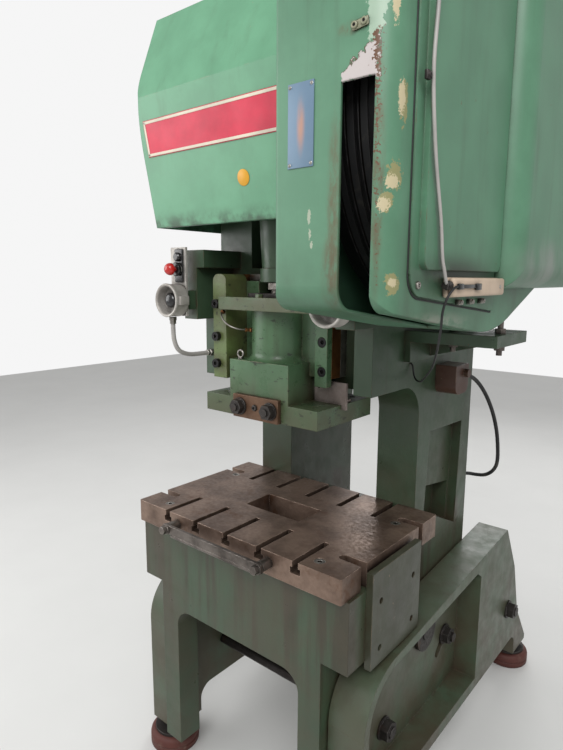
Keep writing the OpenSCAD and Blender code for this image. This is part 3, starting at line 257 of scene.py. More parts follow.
# Colours of dirt, oil and bare places, and the near-black of painted shade in corners
RUST = srgb(96, 66, 44)
PRIMER = srgb(150, 138, 116)
WET_DIRT, DRY_DIRT = srgb(38, 36, 26), srgb(66, 54, 38)
STEEL_RUST, STEEL_CORNER_SHADE = srgb(92, 60, 38), srgb(26, 22, 18)
DUST, PLASTIC_CORNER_SHADE = srgb(150, 140, 122), srgb(24, 22, 20)
STEEL_EDGE, PLASTIC_EDGE = 0.002, 0.0015


def paint(name, base, shade, under, grime_and_shade=0.5, wear=0.5, rough=0.42, edge=0.003, casting=0.3,
          extra=None, uneven=0.13):
    """Oily machine paint: mottled colour, drips, corners darkened by dirt and painted shade, worn
    edges and small chips.
    """
    s = Shader(name)
    colour = s.blend(s.noise(2.6, 5.0), base, shade)
    cloud = s.ramp(s.noise(9.0, 6.0), 0.35, 0.7)
    pale = tuple(min(1.0, c * 1.25 + 0.01) for c in base[:3]) + (1.0,)
    colour = s.over(colour, cloud, 0.35, pale)
    drips = s.ramp(s.noise(16.0, 5.0, 0.65, (1, 1, 0.10)), 0.52, 0.78)
    dirt = s.blend(s.noise(30.0), WET_DIRT, DRY_DIRT)
    colour = s.over(colour, drips, 0.55 * grime_and_shade, dirt)
    # Dirt and painted shade: dirt colour laid into the corners and gaps that ambient occlusion
    # finds
    corner = s.both(s.crevice(0.06), s.ramp(s.noise(12.0), 0.25, 0.6))
    colour = s.over(colour, corner, min(1.0, 1.3 * grime_and_shade), dirt)
    edge_mask, rounded = s.edges(edge)
    worn = s.both(edge_mask, s.ramp(s.noise(22.0, 6.0, 0.7), 0.56 - 0.16 * wear, 0.66))
    specks = s.ramp(s.noise(70.0, 3.0, 0.5), 0.745 - 0.03 * wear, 0.76 - 0.03 * wear)
    specks = s.both(specks, s.ramp(s.noise(5.0, 3.0), 0.5, 0.62))
    chipped = s.math("MAXIMUM", worn, specks)
    colour = s.blend(chipped, colour, under)
    roughness = s.ramp(s.noise(18.0, 5.0), 0.2, 0.8, rough - uneven, rough + uneven)
    if extra:
        colour = extra(s, colour)
    height = s.math("ADD", s.both(s.noise(55.0, 4.0), casting), s.both(s.noise(5.0, 2.0), casting))
    height = s.math("SUBTRACT", height, s.both(chipped, 0.25))
    normal = s.bump(height, 0.35, 0.004, rounded)
    return s.finish(colour, roughness, normal)


def steel(name, base, dark, rough, metal=0.85, rust=0.3):
    """Bare steel: fine marks, oily stains, brown rust, painted shade in crevices and bright edges.
    """
    s = Shader(name)
    marks = s.noise(90.0, 3.0, 0.5)
    stain = s.ramp(s.noise(7.0, 6.0, 0.65), 0.35, 0.7)
    colour = s.blend(stain, base, dark)
    colour = s.over(colour, marks, 0.3, dark)
    brown = s.ramp(s.noise(13.0, 7.0, 0.7), 0.62 - 0.15 * rust, 0.75)
    colour = s.over(colour, brown, min(1.0, rust * 1.6), STEEL_RUST)
    # Painted shade: crevices darkened towards near black
    colour = s.over(colour, s.crevice(0.03), 0.8, STEEL_CORNER_SHADE)
    edge_mask, rounded = s.edges(STEEL_EDGE)
    bright = tuple(min(1.0, c * 1.7 + 0.06) for c in base[:3]) + (1.0,)
    colour = s.blend(s.both(edge_mask, s.ramp(s.noise(30.0), 0.4, 0.6)), colour, bright)
    roughness = s.ramp(marks, 0.2, 0.8, rough - 0.08, rough + 0.16)
    normal = s.bump(s.math("ADD", marks, stain), 0.12, 0.0015, rounded)
    return s.finish(colour, roughness, normal, metal)


def plastic(name, base, grain, rough=0.35, dust=0.2, coat=0.0):
    """Moulded plastic or rubber: fine grain, dust, painted shade in the corners, slight colour
    changes.
    """
    s = Shader(name)
    other = tuple(c * 0.72 for c in base[:3]) + (1.0,)
    colour = s.blend(s.ramp(s.noise(8.0, 4.0), 0.3, 0.75), base, other)
    colour = s.over(colour, s.ramp(s.noise(26.0, 6.0), 0.55, 0.8), dust, DUST)
    # Painted shade: corners and gaps darkened
    colour = s.over(colour, s.crevice(0.02), 0.5, PLASTIC_CORNER_SHADE)
    rounded = s.edges(PLASTIC_EDGE)[1]
    roughness = s.ramp(s.noise(20.0), 0.2, 0.8, rough - 0.06, rough + 0.1)
    normal = s.bump(s.noise(grain, 2.0), 0.12, 0.0008, rounded)
    return s.finish(colour, roughness, normal, coat=coat)


def chips(s, colour, spots, tone, scale, rag):
    """Torn paint: spots broken up by noise, in a tone of primer."""
    crumbs = s.noise(scale, 6.0, 0.65)
    for centre, size in spots:
        near = s.spot(centre, size, 1.0)
        ragged = s.ramp(s.sum_of(crumbs, rag, near), 0.5 * rag + 0.34, 0.5 * rag + 0.38)
        colour = s.over(colour, ragged, s.ramp(near, 0.03, 0.10), tone)
    return colour


def torn(s, sides, scale=110.0, rag=0.55):
    """1 on the guard's front between straight lines, with a ragged edge. Each side is the X and
    Z of a point on its line, and the way inwards."""
    x, z = s.axis(X), s.axis(Z)
    steepness = 12.0
    inside = 1.0
    for px, pz, nx, nz in sides:
        long = math.hypot(nx, nz) / steepness
        far = s.sum_of(x, nx / long, s.sum_of(z, nz / long, 0.5 - (px * nx + pz * nz) / long))
        inside = s.math("MINIMUM", far, inside)
    ragged = s.sum_of(s.noise(scale, 6.0, 0.65), rag, inside)
    front = s.ramp(s.axis(Y), GUARD_FRONT + 0.020, GUARD_FRONT + 0.013)
    return s.both(s.ramp(ragged, 0.5 + 0.5 * rag, 0.515 + 0.5 * rag), front)


# Spots of wear on the guard, each with its centre and its half sizes
BROWN_MARGINS = [((0.519, -0.975, 1.80), (0.020, 0.03, 0.25)),
                 ((0.606, -0.968, 1.86), (0.012, 0.03, 0.25)),
                 ((0.513, -0.965, 1.70), (0.026, 0.06, 0.10)),
                 ((0.545, -0.975, 2.115), (0.030, 0.03, 0.016))]
OLIVE_SPOTS = [((0.626, -0.948, 1.872), (0.024, 0.026, 0.036)),
               ((0.616, -0.958, 1.828), (0.020, 0.022, 0.026)),
               ((0.628, -0.946, 1.690), (0.024, 0.026, 0.030)),
               ((0.634, -0.935, 1.99), (0.010, 0.02, 0.06))]
CREAM_SPOTS = [((0.622, -0.952, 1.862), (0.020, 0.022, 0.020)),
               ((0.612, -0.960, 1.824), (0.018, 0.018, 0.020)),
               ((0.628, -0.946, 1.692), (0.013, 0.016, 0.012)),
               ((0.630, -0.940, 2.00), (0.008, 0.014, 0.045)),
               ((0.622, -0.955, 2.15), (0.009, 0.014, 0.06))]
FRONT_CHIPS = [((0.464, -0.975, 1.812), (0.0065, 0.02, 0.022)),
               ((0.466, -0.975, 1.780), (0.005, 0.02, 0.016)),
               ((0.470, -0.975, 1.760), (0.005, 0.02, 0.010))]

# Torn regions over the guard's slot, as torn() takes them
STRIP_SIDES = [(0.584, 2.080, 1, 0.05), (0.602, 2.093, -0.97, 0.24), (0.59, 2.172, 0, -1),
               (0.59, 2.070, 0, 1)]
PATCH_FOOT = (0.56, 2.030, 0, 1)
PATCH_SIDES = [(0.530, 2.04, 1, 0), (0.601, 2.06, -1, 0), (0.534, 2.048, 0.55, -0.835), PATCH_FOOT]
PATCH_RIM = [(0.530, 2.04, 1, 0), (0.604, 2.06, -1, 0), (0.534, 2.0515, 0.55, -0.835), PATCH_FOOT]
BROWN_EDGE = [(0.5965, 2.04, 1, 0.05), (0.603, 2.06, -1, 0), (0.59, 2.100, 0, -1)]


def guard_margins(s, colour):
    """Brown margins along the slot, and painted shade with some dirt that darkens the lower half.
    """
    rim = s.ramp(s.noise(38.0, 6.0, 0.7, (1, 1, 0.35)), 0.34, 0.62)
    for centre, size in BROWN_MARGINS:
        colour = s.over(colour, s.both(s.spot(centre, size, 0.7), rim), 0.85, srgb(96, 86, 62))
    # Painted shade with some dirt: the guard grows darker towards its lower half
    shade_and_dirt_low = s.both(s.ramp(s.axis(Z), 1.86, 1.60), s.ramp(s.noise(5.0, 5.0), 0.2, 0.7))
    return s.over(colour, shade_and_dirt_low, 0.55, srgb(58, 72, 54))


def guard_patch(s, colour):
    """The torn patch of primer over the slot, its brown rim and the pale strip above it."""
    colour = s.blend(torn(s, STRIP_SIDES), colour, srgb(158, 180, 160))
    colour = s.blend(torn(s, PATCH_RIM), colour, srgb(84, 66, 48))
    colour = s.blend(torn(s, PATCH_SIDES), colour, srgb(190, 182, 180))
    return s.blend(torn(s, BROWN_EDGE, 160.0, 0.8), colour, srgb(98, 66, 44))


def guard_smears(s, colour):
    """The dark smear over the junction box, the scrubbed foot of the panel, and dust."""
    smear = s.both(s.spot((0.65, -0.730, 1.705), (0.06, 0.25, 0.058), 0.9),
                   s.ramp(s.noise(9.0, 5.0), 0.2, 0.5))
    colour = s.over(colour, smear, 0.9, srgb(40, 46, 34))
    scrub = s.both(s.spot((0.632, -0.78, 1.606), (0.03, 0.22, 0.034), 0.9),
                   s.ramp(s.noise(24.0, 6.0, 0.7, (1, 0.6, 1.6)), 0.38, 0.56))
    colour = s.over(colour, scrub, 0.75, srgb(146, 148, 136))
    dust = s.both(s.spot((0.68, -0.270, 1.735), (0.08, 0.26, 0.085), 0.8),
                  s.ramp(s.noise(7.0, 6.0, 0.6, (1, 1, 0.4)), 0.35, 0.62))
    return s.over(colour, dust, 0.6, srgb(150, 148, 146))


def guard_wear(s, colour):
    """What the photograph shows on the guard: margins, a torn patch, chips and smears."""
    colour = guard_patch(s, guard_margins(s, colour))
    colour = chips(s, colour, OLIVE_SPOTS, srgb(140, 138, 96), 120.0, 2.2)
    colour = chips(s, colour, CREAM_SPOTS, srgb(192, 180, 146), 230.0, 2.1)
    colour = guard_smears(s, colour)
    return chips(s, colour, FRONT_CHIPS, srgb(158, 168, 148), 210.0, 2.0)


def ram_wear(s, colour):
    """Brown oil on the ram's flange and lower walls, and dark scuffs."""
    low = s.both(s.ramp(s.axis(Z), 1.46, 1.28), s.ramp(s.noise(9.0, 6.0), 0.25, 0.6))
    colour = s.over(colour, low, 0.75, srgb(74, 68, 48))
    scuff = s.ramp(s.noise(34.0, 4.0, 0.6, (1.0, 1.0, 2.4)), 0.635, 0.66)
    return s.over(colour, scuff, 0.75, srgb(34, 36, 26))


def tie_wear(s, colour):
    """Olive grease over the tie bar and the left gib."""
    grease = s.ramp(s.noise(11.0, 6.0, 0.65, (0.5, 1, 1)), 0.34, 0.6)
    colour = s.over(colour, grease, 0.7, srgb(76, 74, 48))
    scuff = s.ramp(s.noise(46.0, 4.0, 0.6), 0.63, 0.655)
    return s.over(colour, scuff, 0.7, srgb(34, 34, 24))


def cover_wear(s, colour):
    """Black oil along the crank cover's lower edge."""
    low = s.both(s.ramp(s.axis(Z), 1.905, 1.858), s.ramp(s.noise(14.0, 6.0), 0.36, 0.6))
    return s.over(colour, low, 0.75, srgb(46, 54, 40))


def leg_wear(s, colour):
    """Brown dirt on the feet and low walls of the legs."""
    low = s.both(s.ramp(s.axis(Z), 0.75, 0.15, 0.45, 1.0), s.ramp(s.noise(6.0, 6.0), 0.25, 0.6))
    return s.over(colour, low, 0.85, srgb(74, 64, 50))


def bed_wear(s, colour):
    """Oil that runs down the bed's front wall from the bolster."""
    run = s.ramp(s.noise(17.0, 5.0, 0.6, (1, 1, 0.05)), 0.40, 0.62)
    band = s.both(s.ramp(s.axis(Z), 0.30, 0.80), s.ramp(s.axis(Z), 0.92, 0.89))
    colour = s.over(colour, s.both(run, band), 0.85, srgb(50, 42, 30))
    low = s.both(s.ramp(s.axis(Z), 1.50, 0.80), s.ramp(s.noise(4.0, 6.0), 0.3, 0.62))
    return s.over(colour, low, 0.6, srgb(70, 62, 48))


# Materials: paints, metals, then plastics and rubber
paint("frame_green", srgb(58, 80, 58), srgb(46, 62, 46), RUST, grime_and_shade=0.95, wear=0.6, rough=0.38,
      extra=bed_wear)
paint("leg_green", srgb(76, 94, 74), srgb(60, 72, 56), RUST, grime_and_shade=0.9, wear=0.6, extra=leg_wear)
paint("ram_green", srgb(82, 114, 82), srgb(62, 88, 62), srgb(128, 122, 96), grime_and_shade=0.85,
      wear=0.75, rough=0.33, extra=ram_wear)
paint("tie_green", srgb(80, 100, 68), srgb(64, 80, 54), srgb(120, 112, 84), grime_and_shade=0.9, wear=0.7,
      rough=0.38, extra=tie_wear)
paint("plate_olive", srgb(62, 66, 50), srgb(46, 46, 36), srgb(126, 108, 88), grime_and_shade=0.9,
      wear=0.75, rough=0.4)
paint("guard_green", srgb(90, 136, 108), srgb(78, 120, 94), srgb(104, 92, 64), grime_and_shade=0.45,
      wear=0.3, edge=0.004, casting=0.05, extra=guard_wear, uneven=0.03)
paint("cover_green", srgb(104, 160, 126), srgb(92, 144, 112), PRIMER, grime_and_shade=0.3, wear=0.3,
      rough=0.40, edge=0.005, casting=0.05, extra=cover_wear, uneven=0.03)
paint("lug_paint", srgb(150, 150, 126), srgb(128, 130, 106), PRIMER, grime_and_shade=0.6, rough=0.5,
      edge=0.001)
paint("strap_green", srgb(98, 116, 66), srgb(78, 94, 54), srgb(160, 154, 132), grime_and_shade=0.8,
      wear=0.9, rough=0.4, extra=tie_wear)
paint("box_brown", srgb(86, 58, 46), srgb(62, 42, 34), srgb(140, 120, 100), wear=0.4, rough=0.45)

steel("brown_steel", srgb(140, 118, 104), srgb(88, 70, 60), rough=0.36, metal=0.6, rust=0.55)
steel("rust_steel", srgb(112, 84, 64), srgb(70, 50, 38), rough=0.5, metal=0.45, rust=0.8)
steel("bare_steel", srgb(168, 164, 158), srgb(112, 106, 100), rough=0.34, metal=0.9)
steel("bar_steel", srgb(132, 124, 118), srgb(64, 58, 54), rough=0.34, metal=0.8)
steel("plate_steel", srgb(168, 156, 150), srgb(126, 112, 106), rough=0.5, metal=0.4, rust=0.15)
steel("dark_steel", srgb(74, 70, 68), srgb(44, 40, 38), rough=0.45, metal=0.7, rust=0.35)
steel("black_steel", srgb(36, 35, 36), srgb(22, 21, 22), rough=0.4, metal=0.6, rust=0.1)
steel("bronze", srgb(150, 100, 58), srgb(104, 66, 38), rough=0.36)
steel("cast_grey", srgb(196, 192, 186), srgb(150, 144, 138), rough=0.5, metal=0.35, rust=0.12)

plastic("pad_rubber", srgb(92, 46, 38), rough=0.6, grain=160.0, dust=0.35)
plastic("black_rubber", srgb(30, 30, 31), rough=0.55, grain=200.0)
plastic("grey_sheath", srgb(176, 172, 168), rough=0.45, grain=160.0, dust=0.15)
plastic("black_gloss", srgb(24, 24, 26), rough=0.22, grain=60.0, dust=0.08, coat=0.4)
plastic("red_gloss", srgb(196, 34, 30), rough=0.25, grain=60.0, dust=0.05, coat=0.4)
plastic("sign_red", srgb(212, 26, 64), grain=40.0, dust=0.03)
plastic("pale_print", srgb(226, 216, 196), rough=0.45, grain=60.0, dust=0.15)
plastic("yellow_disc", srgb(242, 176, 46), rough=0.4, grain=60.0, dust=0.1)
plastic("tan_plastic", srgb(206, 184, 162), rough=0.5, grain=90.0)


def plate_blue():
    """The data plate's blank face: blue-grey, with a faded tan smear down its middle."""
    s = Shader("plate_blue")
    colour = s.blend(s.noise(14.0), srgb(116, 140, 160), srgb(98, 122, 146))
    smear = s.both(s.spot((0.4435, -0.977, 1.975), (0.013, 0.02, 0.066), 0.9),
                   s.ramp(s.noise(40.0, 5.0, 0.6, (1, 1, 0.3)), 0.2, 0.6))
    colour = s.over(colour, smear, 0.85, srgb(184, 138, 116))
    normal = s.bump(s.noise(120.0), 0.1, 0.0006)
    return s.finish(colour, 0.45, normal, 0.2)


plate_blue()

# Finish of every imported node
FINISH = {
    "leg_green": ["leg_left", "leg_right", "rear_beam"],
    "frame_green": ["frame", "bearing_caps", "motor_bracket", "button_brackets", "pitman",
                    "pitman_cap", "guard_stay"],
    "ram_green": ["ram", "gib_right"],
    "tie_green": ["tie_bar"],
    "plate_olive": ["bed_side_plate"],
    "cover_green": ["crank_cover"],
    "guard_green": ["flywheel_guard", "guard_panel", "belt_cover"],
    "strap_green": ["gib_left"],
    "brown_steel": ["bolster"],
    "rust_steel": ["clamp_cap"],
    "bare_steel": ["bolster_screws", "way_plates", "lifting_eye", "crankshaft",
                   "adjusting_screw"],
    "bar_steel": ["front_bar", "front_bar_bolts", "stay_rods"],
    "plate_steel": ["side_bracket"],
    "bronze": ["gib_liners", "main_bushes", "ball_seat", "pitman_bush"],
    "cast_grey": ["button_housings", "stop_plate"],
    "black_steel": ["gib_screws", "flywheel"],
    "pad_rubber": ["isolator_pads"],
    "black_rubber": ["belts", "air_hose", "signal_cord"],
    "grey_sheath": ["conduit", "guard_cable"],
    "black_gloss": ["palm_button_left", "palm_button_right"],
    "red_gloss": ["stop_button"],
    "tan_plastic": ["junction_box"],
    "box_brown": ["valve_box"],
}
finish_of = {node: finish for finish, names in FINISH.items() for node in names}
for node, thing in NODES.items():
    thing.data.materials.clear()
    thing.data.materials.append(MATERIALS[finish_of.get(node, "dark_steel")])


# Mesh tools
def once(things):
    """Each thing once, in the order given."""
    return list(dict.fromkeys(things))


def smooth_faces(bm, angle):
    """Smooth shading, with a crease where faces meet at more than the angle."""
    bm.normal_update()
    for face in bm.faces:
        face.smooth = True
    for edge in bm.edges:
        if len(edge.link_faces) == 2:
            edge.smooth = edge.calc_face_angle(0.0) < math.radians(angle)


def piece(name, bm, finish, body, angle=35.0):
    """A finished object of the mesh, on its body, with its finish."""
    bmesh.ops.recalc_face_normals(bm, faces=bm.faces)
    smooth_faces(bm, angle)
    mesh = bpy.data.meshes.new(name)
    bm.to_mesh(mesh)
    bm.free()
    thing = bpy.data.objects.new(name, mesh)
    bpy.context.scene.collection.objects.link(thing)
    for one in finish if isinstance(finish, list) else [finish]:
        mesh.materials.append(MATERIALS[one])
    if body:
        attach(thing, body)
    return thing


def turn_to(axis):
    """Rotation that takes +Z to the axis."""
    return Vector(UP).rotation_difference(Vector(axis)).to_matrix().to_4x4()


def ring_points(place, radius, height, steps):
    """Points of a circle about the Z axis, moved by place."""
    return [place @ Vector((radius * math.cos(a), radius * math.sin(a), height))
            for a in (2 * math.pi * k / steps for k in range(steps))]


def lathe(bm, profile, centre, axis, steps=40, finish=0):
    """Turns (radius, height) points about the axis through centre, and closes the ends."""
    place = Matrix.Translation(centre) @ turn_to(axis)
    rings = []
    for radius, height in profile:
        points = ring_points(place, radius, height, steps if radius else 1)
        rings.append([bm.verts.new(point) for point in points])
    for low, high in zip(rings, rings[1:]):
        for k in range(steps):
            j = (k + 1) % steps
            corners = [low[k % len(low)], low[j % len(low)],
                       high[j % len(high)], high[k % len(high)]]
            if len(once(corners)) > 2:
                bm.faces.new(once(corners)).material_index = finish
    for ring in (rings[0], rings[-1]):
        if len(ring) > 2:
            bm.faces.new(ring).material_index = finish


def slab(bm, low, high, bevel, segments=2, place=None, finish=0):
    """A block between two corners with rounded edges."""
    low, high = Vector(low), Vector(high)
    size = high - low
    made = bmesh.ops.create_cube(bm, size=1.0)["verts"]
    for v in made:
        v.co = (low + high) / 2 + Vector((v.co.x * size.x, v.co.y * size.y, v.co.z * size.z))
    edges = once(edge for v in made for edge in v.link_edges)
    rounded = bmesh.ops.bevel(bm, geom=edges, offset=bevel, segments=segments, affect="EDGES",
                              profile=0.5)["faces"]
    faces = once(face for bent in rounded for v in bent.verts for face in v.link_faces)
    for face in faces:
        face.material_index = finish
    if place is not None:
        for v in once(v for face in faces for v in face.verts):
            v.co = place @ v.co


def bolt(bm, centre, axis, radius, height, washer):
    """A hexagon head with a chamfered top, on a washer."""
    place = Matrix.Translation(centre) @ turn_to(axis)
    base = height * 0.19
    lathe(bm, [(0, 0), (washer, 0), (washer, height * 0.18), (0, height * 0.2)], centre, axis, 28)
    levels = [(radius, base), (radius, base + height * 0.82), (radius * 0.86, base + height)]
    rings = [[bm.verts.new(point) for point in ring_points(place, r, h, 6)] for r, h in levels]
    for low, high in zip(rings, rings[1:]):
        for k in range(6):
            bm.faces.new([low[k], low[(k + 1) % 6], high[(k + 1) % 6], high[k]])
    bm.faces.new(rings[0])
    bm.faces.new(rings[-1])


def screw(bm, centre, axis, radius, height, finish=0):
    """A round head with a hollow in its middle."""
    r, h = radius, height
    lathe(bm, [(0, 0), (r, 0), (r, h * 0.45), (r * 0.88, h * 0.85), (r * 0.62, h),
               (r * 0.42, h), (r * 0.40, h * 0.45), (0, h * 0.4)], centre, axis, 24, finish)


def curve_points(route, steps):
    """Points of the smooth curve through a route, as the source makes them."""
    def at(i):
        return Vector(route[max(0, min(i, len(route) - 1))])
    found = []
    for i in range(len(route) - 1):
        a, b, c, d = at(i - 1), at(i), at(i + 1), at(i + 2)
        for k in range(steps):
            t = k / steps
            found.append(0.5 * (2 * b + (c - a) * t + (2 * a - 5 * b + 4 * c - d) * t * t
                                + (3 * b - a - 3 * c + d) * t ** 3))
    return found + [at(len(route) - 1)]


def tube(bm, points, radius, sides=12, ripple=None):
    """A closed round tube along the points. ripple scales the radius at each point's number."""
    rings = []
    upright = abs((points[1] - points[0]).normalized().z) > 0.8
    across = Vector(RIGHT if upright else UP)
    for i, point in enumerate(points):
        ahead = (points[min(i + 1, len(points) - 1)] - points[max(i - 1, 0)]).normalized()
        across = (across - ahead * across.dot(ahead)).normalized()
        other = ahead.cross(across)
        r = radius * (ripple(i) if ripple else 1.0)
        rings.append([bm.verts.new(point + (across * math.cos(a) + other * math.sin(a)) * r)
                      for a in (2 * math.pi * k / sides for k in range(sides))])
    for low, high in zip(rings, rings[1:]):
        for k in range(sides):
            j = (k + 1) % sides
            bm.faces.new([low[k], low[j], high[j], high[k]])
    bm.faces.new(rings[0])
    bm.faces.new(rings[-1])


def millimetres(route):
    """A route typed in millimetres, in metres."""
    return [tuple(c / 1000.0 for c in p) for p in route]


# Cords: the same routes as in the source
HOSE = millimetres([
    [370, -9.7, 1378], [371, 15, 1378], [374, 50, 1374], [379, 100, 1355], [385, 155, 1318],
    [391, 210, 1265], [396, 260, 1200], [399, 298, 1130], [400, 320, 1060], [400, 325, 1010],
    [394, 325, 981], [378, 325, 957], [354, 325, 941], [325, 325, 935], [296, 319, 935],
    [272, 303, 935], [256, 279, 935], [250, 250, 935], [250, 225, 935], [250, 197.3, 935]])
CORD = millimetres([
    [667, -756.5, 1684], [666, -772, 1681], [660, -786, 1664], [652, -788, 1636],
    [647, -782, 1600], [632, -760, 1560], [600, -700, 1530], [555, -618, 1495], [500, -530, 1460],
    [440, -430, 1427], [395, -350, 1408], [362, -308, 1403], [345, -292, 1415],
    [338, -288, 1440], [330.5, -288, 1450]])


def free_cord(name, route, radius, node):
    """A rubber cord in place of its node in the source."""
    points = curve_points(route, 5)
    bm = bmesh.new()
    tube(bm, points, radius)
    thing = piece(name, bm, "black_rubber", "press_frame", 60.0)
    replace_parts(thing, node)


free_cord("air_hose_run", HOSE, 0.007, "air_hose")
free_cord("signal_cord_run", CORD, 0.0025, "signal_cord")


# The crank cover's front, which leans in as it goes down
COVER_LOW = side("crank_cover", LOW, Z)
COVER_RISE, COVER_RUN = 0.365, 0.072
COVER_LEAN = Matrix.Rotation(math.atan2(COVER_RUN, COVER_RISE), 4, "X")
COVER_NORMAL = COVER_LEAN.to_3x3() @ Vector(FRONT)


def on_cover(x, z):
    """A point on the crank cover's leaning front."""
    foot = side("crank_cover", LOW, Y) + COVER_RUN
    return Vector((x, foot - COVER_RUN * (z - COVER_LOW) / COVER_RISE, z))


# Signs, both without any print
def sign_plate():
    """Blank red plate with a pale border, screwed to the crank cover's front."""
    place = Matrix.Translation(on_cover(0, 2.1055)) @ COVER_LEAN
    half_x, half_z = 0.345, 0.0505
    out_x, out_z = half_x - 0.002, half_z - 0.002
    in_x, in_z = out_x - 0.0075, out_z - 0.0075
    bm = bmesh.new()
    slab(bm, (-half_x, -0.0022, -half_z), (half_x, 0.0, half_z), 0.0006, 1, place, 0)
    for low, high in [((-out_x, in_z), (out_x, out_z)), ((-out_x, -out_z), (out_x, -in_z)),
                      ((-out_x, -in_z), (-in_x, in_z)), ((in_x, -in_z), (out_x, in_z))]:
        slab(bm, (low[0], -0.0030, low[1]), (high[0], -0.0020, high[1]), 0.0003, 1, place, 1)
    for x in (0.004 - out_x, out_x - 0.004):
        for z in (0.004 - out_z, out_z - 0.004):
            screw(bm, place @ Vector((x, -0.0028, z)), COVER_NORMAL, 0.0028, 0.0014, 2)
    piece("sign_plate", bm, ["sign_red", "pale_print", "bare_steel"], "press_frame")


def yellow_disc():
    bm = bmesh.new()
    lathe(bm, [(0, 0), (0.0215, 0), (0.0215, 0.0012), (0.0206, 0.0018), (0, 0.0020)],
          on_cover(0.029, 1.963), COVER_NORMAL, 32)
    piece("yellow_disc", bm, "yellow_disc", "press_frame")


def data_plate():
    """Blank blue plate on the guard's front, with four rivets."""
    left, right, low, high = 0.413, 0.473, 1.901, 2.050
    face = GUARD_FRONT - 0.002
    bm = bmesh.new()
    slab(bm, (left, face, low), (right, GUARD_FRONT, high), 0.0007, 2)
    for x in (left + 0.005, right - 0.005):
        for z in (low + 0.006, high - 0.006):
            lathe(bm, [(0, 0), (0.0032, 0), (0.003, 0.0012), (0.0018, 0.0021), (0, 0.0024)],
                  (x, face, z), FRONT, 16, 1)
    piece("data_plate", bm, ["plate_blue", "bare_steel"], "press_frame")


def guard_lug():
    """Small flat casting with two eyes, tilted, at the top of the guard's front."""
    half_x, half_z, thick = 0.0165, 0.0075, 0.0045
    centre = Vector((0.568, GUARD_FRONT, 2.116))
    tilt = Matrix.Rotation(math.radians(-7), 3, "Y")
    bm = bmesh.new()
    slab(bm, (-half_x, -thick, -half_z), (half_x, 0, half_z), 0.003, 4,
         Matrix.Translation(centre) @ tilt.to_4x4())
    for x in (-0.0095, 0.0095):
        eye = centre + tilt @ Vector((x, -thick, 0))
        lathe(bm, [(0.0030, 0), (0.0062, 0), (0.0060, 0.0030), (0.0045, 0.0042), (0.0030, 0.0036),
                   (0.0030, 0)], eye, FRONT, 24)
        lathe(bm, [(0, 0), (0.0034, 0), (0.0034, 0.0016), (0, 0.0016)], eye, FRONT, 16, 1)
    piece("guard_lug", bm, ["lug_paint", "black_steel"], "press_frame")


sign_plate()
yellow_disc()
data_plate()
guard_lug()


# Guard panel: its screws, the cable's clip, and the rubber line round its edge
def panel_screws():
    bm = bmesh.new()
    for y, z in [(-0.870, 1.687), (-0.878, 2.385)]:
        screw(bm, (PANEL_FACE, y, z), RIGHT, 0.0075, 0.005)
    tab, z = PANEL_FACE + 0.011, 1.651
    for y in (-0.693, -0.634, -0.572):
        slab(bm, (PANEL_FACE, y - 0.006, z - 0.006), (tab, y + 0.006, z + 0.006), 0.002)
        screw(bm, (tab, y, z), RIGHT, 0.0055, 0.004)
    piece("panel_screws", bm, "bare_steel", "press_frame")


def cable_clip():
    raised = side("guard_panel", HIGH, X)
    bm = bmesh.new()
    slab(bm, (raised - 0.001, -0.902, 2.032), (raised + 0.006, -0.888, 2.048), 0.002, 2)
    slab(bm, (raised, -0.892, 2.038), (raised + 0.0055, -0.876, 2.043), 0.001, 2)
    screw(bm, (raised + 0.006, -0.895, 2.040), RIGHT, 0.0045, 0.003)
    piece("cable_clip", bm, "dark_steel", "press_frame")


def panel_gasket():
    """Thin rubber line round the panel, with a rounded lower front corner."""
    (_, front, low), (_, back, top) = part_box("guard_panel")
    x = GUARD_OUT + 0.0004
    radius = 0.047
    bend = [(front - 0.002 + radius * (1 - math.cos(t)), low + 0.083 - radius * math.sin(t))
            for t in (math.radians(8 * k) for k in range(11))]
    outline = [(back, top + 0.002), (front - 0.002, top + 0.002), *bend, (back, low - 0.003),
               (back, top + 0.002)]
    bm = bmesh.new()
    for a, b in zip(outline, outline[1:]):
        tube(bm, [Vector((x, *a)), Vector((x, *b))], 0.0018, 8)
    piece("panel_gasket", bm, "black_rubber", "press_frame", 60.0)


panel_screws()
cable_clip()
panel_gasket()

# Cable up the guard's panel, thinner than the source's
CABLE = millimetres([
    [656.5, -870, 2463], [656.5, -872, 2400], [656.5, -874, 2250], [656.5, -874, 2163],
    [656.5, -882, 2047], [656.5, -860, 1918], [656.5, -826, 1806], [656.5, -812, 1740],
    [656.5, -800, 1714], [655, -787, 1694], [652.5, -776, 1687], [652, -766, 1686]])


def guard_cable():
    """The grey cable and the gland that it enters the junction box by."""
    bm = bmesh.new()
    tube(bm, curve_points(CABLE, 6), 0.0035)
    thing = piece("guard_cable_run", bm, "grey_sheath", "press_frame", 60.0)
    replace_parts(thing, "guard_cable")
    x, _, z = CABLE[-1]
    bm = bmesh.new()
    lathe(bm, [(0, 0), (0.0095, 0), (0.0095, 0.008), (0.0075, 0.010), (0.0075, 0.020), (0, 0.020)],
          (x, side("junction_box", LOW, Y), z), FRONT, 18)
    piece("cable_gland", bm, "dark_steel", "press_frame")


guard_cable()

